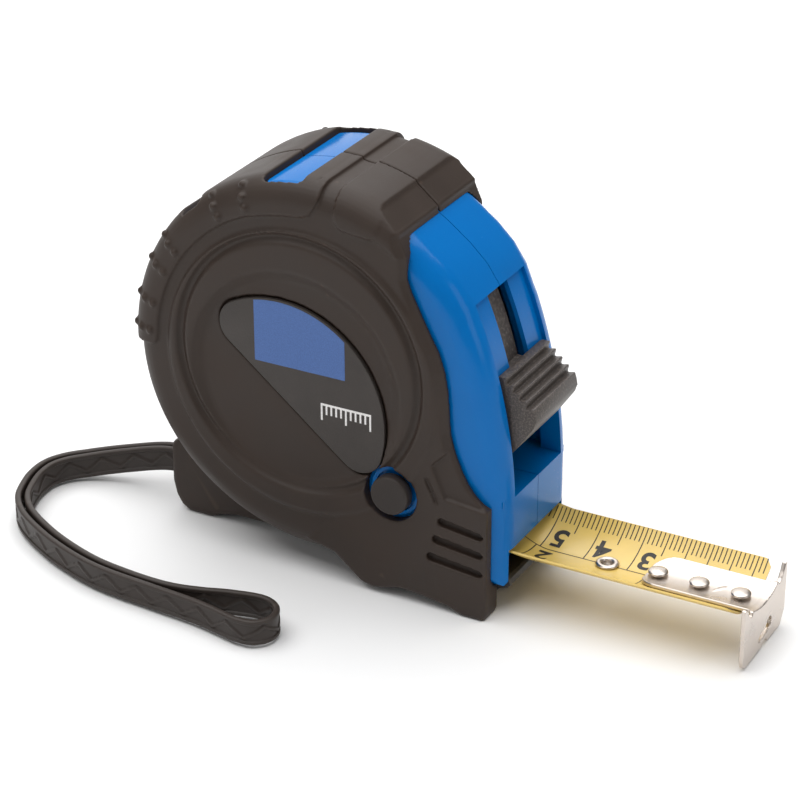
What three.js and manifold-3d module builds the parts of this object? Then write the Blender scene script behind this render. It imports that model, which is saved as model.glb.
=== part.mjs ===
// Pocket tape measure, 10 m x 25 mm. Millimetres, +X out along the blade, +Z up, floor at Z = 0.
import * as THREE from 'three';
import { mergeVertices, toCreasedNormals } from 'three/addons/utils/BufferGeometryUtils.js';
import Module from 'manifold-3d';

const wasm = await Module();
wasm.setup();

// ---- driving dimensions -------------------------------------------------------------------
const bladeWidth = 25;      // flattened width of the steel tape
const bladeThick = 0.4;     // drawn thicker than the real 0.13 mm so that it meshes
const bladeCrown = 4.6;     // height of the curved section
const bladeEdgeZ = 14.2;    // top of the blade's edges above the floor
const bladeZero = 61.5;     // free end of the blade
const bladeRoot = 1.5;      // inner end of the straight length
const coilOuter = 30;       // wound tape, fully wound less what is out
const coilHub = 18.9;
const wall = 2.2;           // case wall
const rubber = 2.3;         // grip thickness over the case
const gap = 0.3;            // between parts that move or rest on each other
const fit = 0.25;           // between the grip and the case it is moulded on
const seam = 0.1;           // half the line between left and right mouldings

// ---- derived ------------------------------------------------------------------------------
const coilX = -32;
const coilZ = bladeEdgeZ + 3 + coilOuter;
const flange = 0.9;
const flangeIn = bladeWidth / 2 + 0.2;
const flangeOut = flangeIn + flange;
const inHalf = flangeOut + 0.4;             // inside half width of the case
const caseHalf = inHalf + wall;             // outside half width of the blue case
const rimHalf = caseHalf + rubber;          // rubber rim half width
const faceHalf = rimHalf + 0.8;             // raised ring on the side faces
const flangeR = coilOuter + 1.2;
const inR = flangeR + 6.9;                  // room for the screw posts round the drum
const caseR = inR + wall;
const gripR = caseR + rubber + 0.2;
const frontX = coilX + coilOuter + 14.8;    // flat front of the case above the mouth
const mouthHalf = bladeWidth / 2 + gap;
const mouthTop = bladeEdgeZ + 0.9;
// Width across the curved blade, whose arc stays as long as the flat steel is wide.
const chord = (bladeWidth + Math.sqrt(bladeWidth ** 2 - (32 / 3) * bladeCrown ** 2)) / 2;
const crownR = chord * chord / (8 * bladeCrown) + bladeCrown / 2;
const lowZ = bladeEdgeZ - bladeCrown;       // top of the blade on its centre line
const floorIn = lowZ - bladeThick - 0.9;    // inside floor of the case, clear of the rivets
const floorOut = floorIn - wall;            // outside floor ahead of the drum
const faceR = 116;                          // curve of the case front, about faceX, faceZ
const faceX = frontX - 115.9;
const faceZ = coilZ - 25.3;
const buttonX = coilX + 20.2;
const buttonZ = coilZ - 22;

// ---- solids -------------------------------------------------------------------------------
function solid(geometry) {
  let g = geometry.index ? geometry.toNonIndexed() : geometry.clone();
  for (const key of Object.keys(g.attributes)) if (key !== 'position') g.deleteAttribute(key);
  g = mergeVertices(g, 1e-4);
  const tri = [];
  const ix = g.index.array;
  for (let i = 0; i < ix.length; i += 3) {
    const [a, b, c] = [ix[i], ix[i + 1], ix[i + 2]];
    if (a !== b && b !== c && c !== a) tri.push(a, b, c);
  }
  return new wasm.Manifold(new wasm.Mesh({
    numProp: 3,
    vertProperties: new Float32Array(g.attributes.position.array),
    triVerts: new Uint32Array(tri),
  }));
}

function geometryOf(body) {
  const m = body.getMesh();
  const g = new THREE.BufferGeometry();
  g.setAttribute('position', new THREE.BufferAttribute(new Float32Array(m.vertProperties), 3));
  g.setIndex(new THREE.BufferAttribute(new Uint32Array(m.triVerts), 1));
  return toCreasedNormals(g, THREE.MathUtils.degToRad(32));
}

const shapeOf = (points) => new THREE.Shape(points.map(([a, b]) => new THREE.Vector2(a, b)));

// A profile in X and Z, drawn from y0 to y1, its side edges rounded and its outline grown.
function slab(points, y0, y1, round = 0, segments = 4, grow = 0) {
  const bevel = round > 0 || grow !== 0;
  const g = new THREE.ExtrudeGeometry(shapeOf(points), {
    depth: y1 - y0 - 2 * round,
    curveSegments: 1,
    bevelEnabled: bevel,
    bevelThickness: round || 0.001,
    bevelSize: round,
    bevelOffset: grow - round,
    bevelSegments: segments,
  });
  return solid(g.rotateX(Math.PI / 2).translate(0, y1 - round, 0));
}

function box(x0, x1, y0, y1, z0, z1) {
  const g = new THREE.BoxGeometry(x1 - x0, y1 - y0, z1 - z0);
  return solid(g.translate((x0 + x1) / 2, (y0 + y1) / 2, (z0 + z1) / 2));
}

// A turned solid about an axis along Y through x, z; profile rows are [radius, y].
function turned(profile, x, z, segments = 48) {
  const g = new THREE.LatheGeometry(profile.map(([r, y]) => new THREE.Vector2(r, y)), segments);
  return solid(g.translate(x, 0, z));
}

const disc = (x, z, r, y0, y1, segments = 40) =>
  turned([[0, y0], [r, y0], [r, y1], [0, y1]], x, z, segments);
const tube = (x, z, r0, r1, y0, y1, segments = 40) =>
  turned([[r0, y0], [r1, y0], [r1, y1], [r0, y1], [r0, y0]], x, z, segments);

function swept(points, section, steps) {
  const path = new THREE.CatmullRomCurve3(points.map((p) => new THREE.Vector3(...p)), false, 'centripetal');
  return solid(new THREE.ExtrudeGeometry(shapeOf(section), { steps, extrudePath: path, curveSegments: 1 }));
}

// A flat band that follows a path standing on its edge, with its flat sides kept upright.
function standing(points, thick, width, steps) {
  const path = new THREE.CatmullRomCurve3(points.map((p) => new THREE.Vector3(...p)), false, 'centripetal');
  const verts = [];
  for (let i = 0; i <= steps; i += 1) {
    const centre = path.getPointAt(i / steps);
    const ahead = path.getTangentAt(i / steps);
    const across = ahead.clone().cross(new THREE.Vector3(0, 0, 1)).normalize();
    const rise = across.clone().cross(ahead);
    for (const [a, b] of [[-1, -1], [1, -1], [1, 1], [-1, 1]]) {
      verts.push(...centre.clone().addScaledVector(across, (a * thick) / 2)
        .addScaledVector(rise, (b * width) / 2).toArray());
    }
  }
  const end = 4 * steps;
  const tri = [0, 1, 2, 0, 2, 3, end, end + 2, end + 1, end, end + 3, end + 2];
  for (let i = 0; i < end; i += 4) {
    for (let k = 0; k < 4; k += 1) {
      const p = i + k;
      const q = i + ((k + 1) % 4);
      tri.push(p, p + 4, q + 4, p, q + 4, q);
    }
  }
  return new wasm.Manifold(new wasm.Mesh({
    numProp: 3, vertProperties: new Float32Array(verts), triVerts: new Uint32Array(tri),
  }));
}

const ring = (r, n) => Array.from({ length: n }, (_, i) => [
  r * Math.cos((2 * Math.PI * i) / n), r * Math.sin((2 * Math.PI * i) / n)]);

function arc(cx, cz, r, from, to, n) {
  return Array.from({ length: n + 1 }, (_, i) => {
    const a = THREE.MathUtils.degToRad(from + ((to - from) * i) / n);
    return [cx + r * Math.cos(a), cz + r * Math.sin(a)];
  });
}

const polar = (r, a) => arc(coilX, coilZ, r, a, a, 1).slice(1);

const faceArc = (r, z0, z1, n) => {
  const angle = (z) => THREE.MathUtils.radToDeg(Math.asin((z - faceZ) / r));
  return arc(faceX, faceZ, r, angle(z0), angle(z1), n);
};

// A pie slice about the drum axis between two radii, as a profile.
const sector = (r0, r1, a0, a1, n = 14) => [
  ...arc(coilX, coilZ, r1, a0, a1, n), ...arc(coilX, coilZ, r0, a1, a0, n)];

// A body of radius `top`, easing to `bottom` under the drum; ends at the lowest point.
function round(top, bottom, from, n) {
  return Array.from({ length: n + 1 }, (_, i) => {
    const a = from + ((270 - from) * i) / n;
    const t = THREE.MathUtils.smoothstep(a, 190, 255);
    const r = top + (bottom - top) * t;
    const s = THREE.MathUtils.degToRad(a);
    return [coilX + r * Math.cos(s), coilZ + r * Math.sin(s)];
  });
}

const union = (...bodies) => bodies.reduce((a, b) => a.add(b));
const cut = (body, ...tools) => tools.reduce((a, b) => a.subtract(b), body);
const mirrorY = (body) => body.mirror([0, 1, 0]);

// ---- outlines -----------------------------------------------------------------------------
const faceTop = coilZ + 21.1;               // top of the slider window
const faceLow = coilZ - 20.2;               // foot of the slider window
const caseFloorR = coilZ - floorIn + wall / 2;

const caseOutline = [
  [frontX, floorOut],
  ...faceArc(faceR, faceLow, faceTop, 9),
  ...polar(caseR + 0.3, 39),
  ...round(caseR, caseFloorR, 50, 38),
  [coilX + 8, floorOut],
];
const inFaceR = faceR - 4.7;
const inOutline = [
  [frontX - wall, floorIn], [frontX - wall, faceLow - 2],
  ...faceArc(inFaceR, faceLow, coilZ + 18.8, 7),
  ...polar(inR - 0.9, 38),
  ...round(inR, coilZ - floorIn, 46, 32),
];
const gripOutline = [
  [frontX + 2, floorOut - 0.5], [frontX + 2, faceLow],
  ...faceArc(faceR + 2.5, faceLow + 2, faceTop, 7),
  ...round(gripR, caseFloorR + 1.7, 42, 40),
];
const faceOut = frontX - 1.6;               // front face of the rubber skirt
const gripFront = [                         // everything ahead of this line is bare case
  [60, 100], [coilX + 21, 100], [coilX + 21, coilZ + 35], [coilX + 22.8, coilZ + 31],
  [coilX + 22.8, coilZ + 26.3], [coilX + 26.4, coilZ + 18.4], [coilX + 30, coilZ + 11.7],
  [coilX + 32.2, coilZ + 3], [coilX + 32.8, coilZ - 5.8], [coilX + 34.5, coilZ - 11.5],
  [coilX + 36.9, coilZ - 16.4], [coilX + 40.6, coilZ - 20.2], [faceOut, coilZ - 21.8],
  [faceOut, -5], [60, -5],
].reverse();
const skirt = [
  [faceOut - 0.4, 0], [faceOut, 1.2], [faceOut, coilZ - 20.5], [-2, coilZ + 1],
  [-14, coilZ - 6], [-26, 16], [-33, 8.6], [-26, 7], [-22.5, 4.2], [-19.4, 1.7], [-16.6, 1],
  [-13.5, 1.7], [-10.5, 2.6], [-5, 2.2], [1.5, 1.2], [4.5, 0],
];
const lug = [
  [-64, 0], [-61, 1.2], [-57, 2], [-43, 2], [-34, 8], [-34, 12], [-66, 26], [-70, 19],
  [-73.4, 16.6], [-73.8, 15.6], [-73.8, 7], [-73, 3.6], [-71.6, 1.2], [-69.6, 0],
];

// ---- blue case ----------------------------------------------------------------------------
const coreBody = slab(caseOutline, -caseHalf, caseHalf, 5.2, 4);
const screwR = 1.1;
const postR = 2.6;
// Screw posts stand round the drum: angle, and room between the flange and the post.
const screwSpots = [[50, 0.9], [125, 0.9], [215, 0.9], [-39.3, 4.4]]
  .map(([angle, room]) => polar(flangeR + postR + room, angle)[0]);

function caseHalfBody(side) {
  const post = (x, z, r) => disc(x, z, r, -inHalf - 0.5, -seam, 24);
  const shell = cut(coreBody, slab(inOutline, -inHalf, inHalf));
  const shelf = box(frontX - 9.8, frontX - 1, -inHalf - 0.5, inHalf + 0.5, faceLow - 1.5, faceLow);
  const half = box(-100, 60, -30, -seam, -10, 120);
  let body = union(shell, shelf).intersect(half);
  for (const [x, z] of screwSpots) body = body.add(post(x, z, postR));
  body = cut(body,
    slab([[frontX - 3, floorOut - 1], [frontX + 1, floorOut - 1], [frontX + 1, floorOut + 3],
      ...arc(frontX - 3, floorOut + 3, 3, 0, -90, 5)], -30, 30),
    slab([...faceArc(faceR - 2.1, faceLow + 7, faceTop, 9), [40, faceTop], [40, faceLow + 7]], -11, 11),
    box(frontX - 7, 40, -11, 11, faceLow, faceLow + 7.5),
    slab([...faceArc(faceR - 8, faceLow + 2, faceTop, 6), [40, faceTop], [40, faceLow + 2]], -4.4, 4.4),
    slab([...faceArc(faceR - 7, faceLow - 4, faceLow + 4, 2).map(([x, z]) => [x - 0.5, z]),
      [frontX - 2.4, faceLow + 4], [frontX - 2.4, faceLow - 4]], -4.4, 4.4),
    box(frontX - 5, 40, -mouthHalf, mouthHalf, floorIn, mouthTop),
    box(frontX - 4.8, 40, -mouthHalf, mouthHalf, -5, floorIn + 0.1));
  if (side === 'right') {
    for (const [x, z] of screwSpots) body = body.subtract(disc(x, z, screwR + 0.25, -10, 1, 20));
    body = union(body, tube(buttonX, buttonZ, 4.7, 5.75, -caseHalf - 1.7, -caseHalf + 0.6, 36));
    return body.subtract(disc(buttonX, buttonZ, 2.2, -30, 0, 24));
  }
  for (const [x, z] of screwSpots) {
    body = cut(body, disc(x, z, screwR + 0.25, -30, 1, 20), disc(x, z, 2.1, -30, -inHalf - 0.6, 20));
  }
  body = body.subtract(disc(coilX, coilZ, 2, -30, 0, 24));
  return mirrorY(body);
}

// ---- rubber grips -------------------------------------------------------------------------
const badgeX = coilX - 6.8;
const badgeZ = coilZ - 9;
const badgeR = 25;
const badgeCorner = 5.6;
const badgeChord = -2.6;                    // from the disc's centre to its straight edge
const badgeCut = THREE.MathUtils.degToRad(-39);

// The badge: a disc cut by a slanting chord with its two corners rounded.
function badgeOutline(grow) {
  const nx = Math.sin(badgeCut);
  const nz = -Math.cos(badgeCut);
  const r = badgeCorner;
  const mid = Math.atan2(nz, nx);
  const spread = Math.acos((badgeChord - r) / (badgeR - r));
  const points = [];
  for (const sign of [1, -1]) {
    const a = mid + sign * spread;
    const cx = badgeX + (badgeR - r) * Math.cos(a);
    const cz = badgeZ + (badgeR - r) * Math.sin(a);
    const from = sign > 0 ? mid : a;
    const to = sign > 0 ? a : mid;
    if (sign > 0) {
      for (let i = 0; i <= 6; i += 1) {
        const t = from + ((to - from) * i) / 6;
        points.push([cx + (r + grow) * Math.cos(t), cz + (r + grow) * Math.sin(t)]);
      }
      for (let i = 1; i < 22; i += 1) {
        const t = a + ((2 * Math.PI - 2 * spread) * i) / 22;
        points.push([badgeX + (badgeR + grow) * Math.cos(t), badgeZ + (badgeR + grow) * Math.sin(t)]);
      }
    } else {
      for (let i = 0; i <= 6; i += 1) {
        const t = a + ((mid - a) * i) / 6;
        points.push([cx + (r + grow) * Math.cos(t), cz + (r + grow) * Math.sin(t)]);
      }
    }
  }
  return points;
}

const dome = (x, y, z, r) => solid(new THREE.IcosahedronGeometry(r, 0).translate(x, y, z));

function gripBody(side) {
  const whole = slab(gripOutline, -rimHalf, rimHalf, 5.5, 4);
  const rimDisc = (lift, out) => slab(arc(coilX, coilZ, gripR + lift, 0, 354, 59), -rimHalf - out,
    rimHalf + out, 5.5, 3);
  const bandOuter = rimDisc(0.6, 0.6);
  const band = bandOuter.intersect(slab(sector(gripR - 6.5, gripR + 4, 95.5, 181, 24), -30, 30));
  const padOuter = rimDisc(0.7, 0.5);
  const pad = padOuter.intersect(slab(sector(gripR - 6, gripR + 4, 66.3, 80.3, 8), -30, 30));
  const lipOuter = rimDisc(0.9, 0.4);
  const lip = lipOuter.intersect(slab(sector(gripR - 5, gripR + 4, 50, 60.8, 5), -30, 30));
  const face = turned([[0, -faceHalf], [31.4, -faceHalf], [32.3, -rimHalf + 0.2], [32.3, -caseHalf],
    [0, -caseHalf]], coilX - 1.5, coilZ + 0.3, 56);
  let body = union(whole, band, pad, lip, slab(skirt, -rimHalf - 0.3, rimHalf + 0.3, 1.2, 1),
    slab(lug, -7.5, 7.5, 1.2, 1), face);
  for (const angle of [111, 122, 144.5, 153.5, 166, 176]) {
    const a = THREE.MathUtils.degToRad(angle);
    for (const [r, y] of [[gripR - 4.9, rimHalf + 0.5], [gripR - 2.6, rimHalf - 0.4], [gripR - 0.3, rimHalf - 3]]) {
      body = body.add(dome(coilX + r * Math.cos(a), -y, coilZ + r * Math.sin(a), 0.85));
    }
  }
  body = body.intersect(box(-100, 60, -30, -seam, -10, 120));
  body = cut(body,
    slab(caseOutline, -caseHalf - fit, caseHalf + fit, 5.2 + fit, 3, fit),
    slab(gripFront, -40, 40),
    slab(sector(caseR - 1, 60, 95.5, 104, 2), -16.2, 16.2, 1.5, 1),
    slab(sector(caseR - 1, 60, 128.5, 135, 2), -16.2, 16.2, 1.5, 1),
    slab(sector(gripR - 0.1, 60, 80.5, 82, 2), -40, 40),
    slab(sector(gripR - 0.1, 60, 87.5, 88.5, 2), -40, 40),
    slab(sector(gripR - 0.1, 60, 60.8, 61.6, 2), -40, 40),
    turned([[27.9, -30], [28.9, -30], [28.9, -faceHalf + 0.7], [27.9, -faceHalf + 0.7], [27.9, -30]],
      coilX - 2.3, coilZ + 2.8, 56),
    turned([[0, -30], [25.6, -30], [25.6, -faceHalf], [22.6, -faceHalf + 1.3], [0, -faceHalf + 1.3]],
      coilX - 1.8, coilZ - 1.6, 56),
    slab([[-2.8, 34], [0.4, 26.9], [13, 25.7], [13, 40], [3, 40]].reverse(), -40, -rimHalf + 0.5),
    box(-15.9, 40, -mouthHalf, mouthHalf, -5, floorOut + 2.4),
    box(-80, -67.6, -4.6, 4.6, 4.5, 13));
  for (let i = 0; i < 3; i += 1) {
    const z = 21.4 - 4.3 * i;
    const x = -0.3 - 1.25 * i;
    const slot = [...arc(x, z, 1, 90, 270, 5), ...arc(10, z - 1.5, 0.9, -90, 90, 4)];
    body = body.subtract(slab(slot, -40, -rimHalf + 0.7));
  }
  if (side === 'right') {
    return cut(body,
      disc(buttonX, buttonZ, 6.1, -40, -caseHalf + 1, 40),
      slab(badgeOutline(0.35), -40, -caseHalf - fit - 0.75));
  }
  for (const [x, z] of screwSpots) body = body.subtract(disc(x, z, 2.7, -40, 0, 24));
  return mirrorY(body.subtract(disc(coilX, coilZ, 2.4, -40, 0, 24)));
}

// ---- blade --------------------------------------------------------------------------------
// Height of the blade's upper surface; it eases from flat where it feeds off the drum.
function bladeTop(x, y) {
  const t = THREE.MathUtils.clamp((x - bladeRoot) / 14.5, 0, 1);
  const s = (1 - Math.cos(Math.PI * t)) / 2;
  const curved = lowZ + crownR - Math.sqrt(crownR * crownR - y * y);
  return (1 - s) * (bladeEdgeZ + 0.1) + s * curved;
}

// A sheet over a grid of x rows and y columns, lifted off the blade by `over`.
function sheet(rows, halfAt, columns, over, thick) {
  const points = [];
  for (const level of [0, 1]) {
    for (const x of rows) {
      for (let j = 0; j <= columns; j += 1) {
        const y = halfAt(x) * ((2 * j) / columns - 1);
        points.push([x, y, bladeTop(x, y) + over + level * thick]);
      }
    }
  }
  const n = rows.length;
  const w = columns + 1;
  const id = (level, i, j) => level * n * w + i * w + j;
  const tri = [];
  const quad = (a, b, c, d) => tri.push(a, b, c, a, c, d);
  for (let i = 0; i + 1 < n; i += 1) {
    for (let j = 0; j < columns; j += 1) {
      quad(id(1, i, j), id(1, i + 1, j), id(1, i + 1, j + 1), id(1, i, j + 1));
      quad(id(0, i, j), id(0, i, j + 1), id(0, i + 1, j + 1), id(0, i + 1, j));
    }
    quad(id(0, i, 0), id(0, i + 1, 0), id(1, i + 1, 0), id(1, i, 0));
    quad(id(0, i, columns), id(1, i, columns), id(1, i + 1, columns), id(0, i + 1, columns));
  }
  for (let j = 0; j < columns; j += 1) {
    quad(id(0, 0, j), id(1, 0, j), id(1, 0, j + 1), id(0, 0, j + 1));
    quad(id(0, n - 1, j), id(0, n - 1, j + 1), id(1, n - 1, j + 1), id(1, n - 1, j));
  }
  return new wasm.Manifold(new wasm.Mesh({
    numProp: 3, vertProperties: new Float32Array(points.flat()), triVerts: new Uint32Array(tri),
  }));
}

// A turned solid about a vertical axis; profile rows are [radius, z].
function upright(profile, x, y, segments = 20) {
  const g = new THREE.LatheGeometry(profile.map(([r, z]) => new THREE.Vector2(r, z)), segments);
  return solid(g.rotateX(Math.PI / 2).translate(x, y, 0));
}

const rivetX = [20.8, 11.6, 2.4].map((back) => bladeZero - back);
const eyelet = { x: bladeZero - 32.4, y: 0.2, hole: 1.45, out: 2.55 };
const tabThick = 0.8;
const plateIn = bladeZero + 2.1;            // inner face of the hook plate
const plateThick = 1;
const plateHalf = 11.4;
const hookFloat = 1;                        // the hook slides by this much, its own thickness

const bladeRows = [bladeRoot, 3, 4.5, 6, 7.5, 9, 10.5, 12, 13.5, 16,
  bladeZero - 4, bladeZero - 1.2, bladeZero];
const bladeHalf = (x) => {
  const t = THREE.MathUtils.clamp((x - bladeRoot) / 14.5, 0, 1);
  return (bladeWidth / 2) * (1 - t) + (chord / 2) * t - Math.max(0, x - bladeZero + 1.2);
};
let blade = sheet(bladeRows, bladeHalf, 12, -bladeThick, bladeThick);
for (const x of rivetX) {
  blade = blade.subtract(box(x - 1.5 - hookFloat, x + 1.7, -1.5, 1.5, 0, 30));
}
blade = blade.subtract(upright([[0, -5], [eyelet.hole + 0.35, -5], [eyelet.hole + 0.35, 30], [0, 30]],
  eyelet.x, eyelet.y));

// ---- end hook -----------------------------------------------------------------------------
const tabRows = [-23.1, -22.1, -20, -17.5, -5.5, 1.2].map((x) => bladeZero + x);
const tabHalf = (x) => Math.min(6.6, 4.2 + 1.1 * Math.max(0, x - tabRows[0]));
const tab = sheet(tabRows, tabHalf, 10, gap, tabThick);
const bendTop = lowZ + gap + tabThick;
const plateOutline = [
  [-9.6, 0.4], [-0.6, 0.4], [0, 1.5], [1.6, 1.5], [2.2, 0.4], [9.2, 0.4], [plateHalf, 3.4],
  [plateHalf, 14.3], [10.8, 14.5], [9.8, 13], [8.6, 11.6], [7.4, 11.2], [7, 12.2],
  ...[6.2, 4.5, 2.5, 0, -2.5, -4.5, -6.2].map((y) => [y, bladeTop(bladeZero, y) + gap + tabThick - 0.05]),
  [-7, 12.2], [-7.4, 11.2], [-8.6, 11.6], [-9.8, 13], [-10.8, 14.5], [-plateHalf, 14.3],
  [-plateHalf, 2.2], [-10.9, 0.9],
];
const plate = solid(new THREE.ExtrudeGeometry(shapeOf(plateOutline),
  { depth: plateThick, bevelEnabled: false }).rotateX(Math.PI / 2).rotateZ(Math.PI / 2)
  .translate(plateIn, 0, 0));
const bend = solid(new THREE.ExtrudeGeometry(shapeOf([
  ...[-6, -4, -2, 0, 2, 4, 6].map((y) => [y, bladeTop(bladeZero, y) + gap + 0.02]),
  ...[6, 4, 2, 0, -2, -4, -6].map((y) => [y, bladeTop(bladeZero, y) + gap + tabThick - 0.02])]),
{ depth: plateIn - bladeZero - 0.5, bevelEnabled: false }).rotateX(Math.PI / 2).rotateZ(Math.PI / 2)
  .translate(bladeZero + 0.8, 0, 0));
const nailSlot = solid(new THREE.ExtrudeGeometry(shapeOf([
  ...arc(2.6, 4.4, 1.5, -90, 90, 6), ...arc(-2.2, 3.1, 0.8, 90, 270, 4)]),
{ depth: 6, bevelEnabled: false }).rotateX(Math.PI / 2).rotateZ(Math.PI / 2)
  .translate(plateIn - 2, 0, 0));
let hook = cut(union(tab, bend, plate), nailSlot);
for (const x of rivetX) {
  hook = hook.subtract(upright([[0, 0], [1.25, 0], [1.25, 30], [0, 30]], x, 0));
}

function rivet(x) {
  const top = lowZ + gap + tabThick + 0.45;
  const under = lowZ - bladeThick - 0.3;
  return upright([[0, under - 0.35], [1.7, under - 0.35], [1.7, under], [0.95, under],
    [0.95, top], [2.1, top], [2.1, top + 0.5], [1.8, top + 0.75], [0, top + 0.8]], x, 0, 16);
}

// ---- the rest -----------------------------------------------------------------------------
const ringTurn = (rows) => upright([...rows, rows[0]], eyelet.x, eyelet.y, 20);
const eyeTop = bladeTop(eyelet.x, eyelet.y) + 0.35;
const eyeletBody = ringTurn([[eyelet.hole - 0.25, eyeTop - 1.2], [eyelet.hole + 0.1, eyeTop - 1.2],
  [eyelet.hole + 0.1, eyeTop], [eyelet.out, eyeTop], [eyelet.out, eyeTop + 0.2],
  [eyelet.hole + 0.5, eyeTop + 0.55], [eyelet.hole - 0.25, eyeTop + 0.25]]);

// Slider: a ribbed thumb block on the rails, its neck and a curved tongue behind the rails.
const ribs = [];
for (let i = 0; i <= 16; i += 1) {
  const t = i / 16;
  const swell = 0.42 * Math.cos(2 * Math.PI * 4 * t);
  ribs.push([frontX - 3.3 + 6.1 * t + swell * 0.7, coilZ + 5.5 - 5.9 * t + swell * 0.7]);
}
const thumb = [
  ...faceArc(faceR - 1.8, coilZ - 11.2, coilZ + 5.6, 5).reverse(),
  [frontX - 1.2, coilZ - 10.6], [frontX + 0.9, coilZ - 7.7], [frontX + 2.3, coilZ - 5.7],
  [frontX + 3.3, coilZ - 4.2], [frontX + 3.85, coilZ - 2.6], [frontX + 3.6, coilZ - 1.2],
  ...ribs.reverse(), [frontX - 4.5, coilZ + 5.9],
].reverse();
const bandOf = (r0, r1, z0, z1, n) => [
  ...faceArc(r1, z0, z1, n), ...faceArc(r0, z0, z1, n).reverse()];
const slider = union(
  slab(thumb, -10, 10),
  slab(bandOf(faceR - 5, faceR - 1.4, coilZ - 9.5, coilZ + 4.4, 3), -3.9, 3.9),
  slab(bandOf(faceR - 5, faceR - 3.4, coilZ - 26.2, coilZ + 20, 12), -3.9, 3.9),
  slab(bandOf(faceR - 6.6, faceR - 4.9, coilZ - 13.2, coilZ + 14, 8), -6.5, 6.5));

// Shoe: closes the underside behind the mouth and carries the lip below the blade.
const shoe = slab([
  [-12, 0], [6, 0], [7, 0.9], [7, floorOut - 2.4], [9, floorOut - 1.2], [frontX - 0.6, floorOut - 0.2],
  [frontX, floorOut + 0.5], [frontX - 0.3, floorOut + 1.7], [frontX - 0.9, floorOut + 2.1],
  [frontX - 4.5, floorOut + 2.1], [frontX - 4.5, floorOut - gap], [-15.6, floorOut - gap],
  [-15.6, 3.4], [-14.4, 1.6],
], -mouthHalf + gap, mouthHalf - gap);

const buttonFace = -faceHalf - 1.2;
const button = turned([[0, -inHalf - 1.2], [1.9, -inHalf - 1.2], [1.9, -caseHalf - 1.6],
  [4.35, -caseHalf - 1.6], [4.35, buttonFace + 0.5], [3.9, buttonFace], [0, buttonFace]].reverse(),
buttonX, buttonZ, 36);
const springTurns = 2.2;
const helix = Array.from({ length: 27 }, (_, i) => {
  const a = (2 * Math.PI * springTurns * i) / 26;
  return [buttonX + 3 * Math.cos(a), -caseHalf - 0.3 - (1.0 * i) / 26, buttonZ + 3 * Math.sin(a)];
});
const spring = swept(helix, ring(0.22, 5), 38);

const spindle = cut(disc(coilX, coilZ, 4.2, -inHalf + gap, inHalf - gap, 32),
  disc(coilX, coilZ, 1.6, 2, inHalf + 1, 20),
  box(coilX - 0.45, coilX + 0.45, -10.4, 1, coilZ, coilZ + 6));
const drum = tube(coilX, coilZ, coilHub - 2.2, coilHub - 0.3, -flangeIn + 0.1, flangeIn - 0.1, 56);
const drumFlange = (sign) => {
  const y = [sign * (flangeIn + 0.02), sign * flangeOut].sort((a, b) => a - b);
  return tube(coilX, coilZ, 4.6, flangeR, y[0], y[1], 56);
};
const coilBody = tube(coilX, coilZ, coilHub, coilOuter, -bladeWidth / 2, bladeWidth / 2, 56);

// Mainspring: a flat spiral from the spindle to the drum wall.
const spiral = (shift) => Array.from({ length: 97 }, (_, i) => {
  const a = (2 * Math.PI * 4 * i) / 96;
  const r = 4.75 + (coilHub - 3.4 - 4.75) * (i / 96) + shift;
  return [coilX + r * Math.cos(a), coilZ + r * Math.sin(a)];
});
const mainspring = slab([...spiral(0.6), ...spiral(0).reverse()], -9.5, 9.5);

const badge = slab(badgeOutline(0), -faceHalf + 0.55, -caseHalf - fit - 1.05, 0.25, 1);

const screw = ([x, z]) => turned([[0, -7.5], [screwR, -7.5], [screwR, inHalf + 0.75],
  [1.85, inHalf + 0.75], [1.85, caseHalf - 0.5], [1.5, caseHalf - 0.2], [0, caseHalf - 0.2]], x, z, 20);

// Belt clip: a bent spring-steel strip, drawn as its side profile in Y and Z.
const clipY = faceHalf - 1.3 + gap;
const clipPath = [
  [clipY, coilZ - 12], [clipY + 1.1, coilZ - 12], [clipY + 1.1, coilZ + 14.5],
  ...arc(clipY + 3.6, coilZ + 15, 2.5, 180, 10, 7), [clipY + 6, coilZ + 12],
  [clipY + 4.4, coilZ - 6], [clipY + 4.1, coilZ - 16], [clipY + 5.2, coilZ - 23],
  [clipY + 6.2, coilZ - 22.8], [clipY + 5.2, coilZ - 16], [clipY + 5.5, coilZ - 6],
  [clipY + 7.1, coilZ + 12], ...arc(clipY + 3.6, coilZ + 15, 3.6, 5, 180, 8),
];
const clipHalf = 8;
const clip = solid(new THREE.ExtrudeGeometry(shapeOf(clipPath),
  { depth: 2 * clipHalf, bevelEnabled: false }).rotateX(Math.PI / 2).rotateZ(Math.PI / 2)
  .translate(coilX - clipHalf, 0, 0));
const clipHole = disc(coilX, coilZ, 1.7, clipY - 1, clipY + 2, 20)
  .add(disc(coilX, coilZ, 3.2, clipY + 2, clipY + 20, 24));
const clipScrew = turned([[0, 6], [1.3, 6], [1.3, clipY + 1.1 + 0.15], [2.7, clipY + 1.25],
  [2.7, clipY + 1.9], [2.1, clipY + 2.4], [0, clipY + 2.4]], coilX, coilZ, 24);

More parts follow.
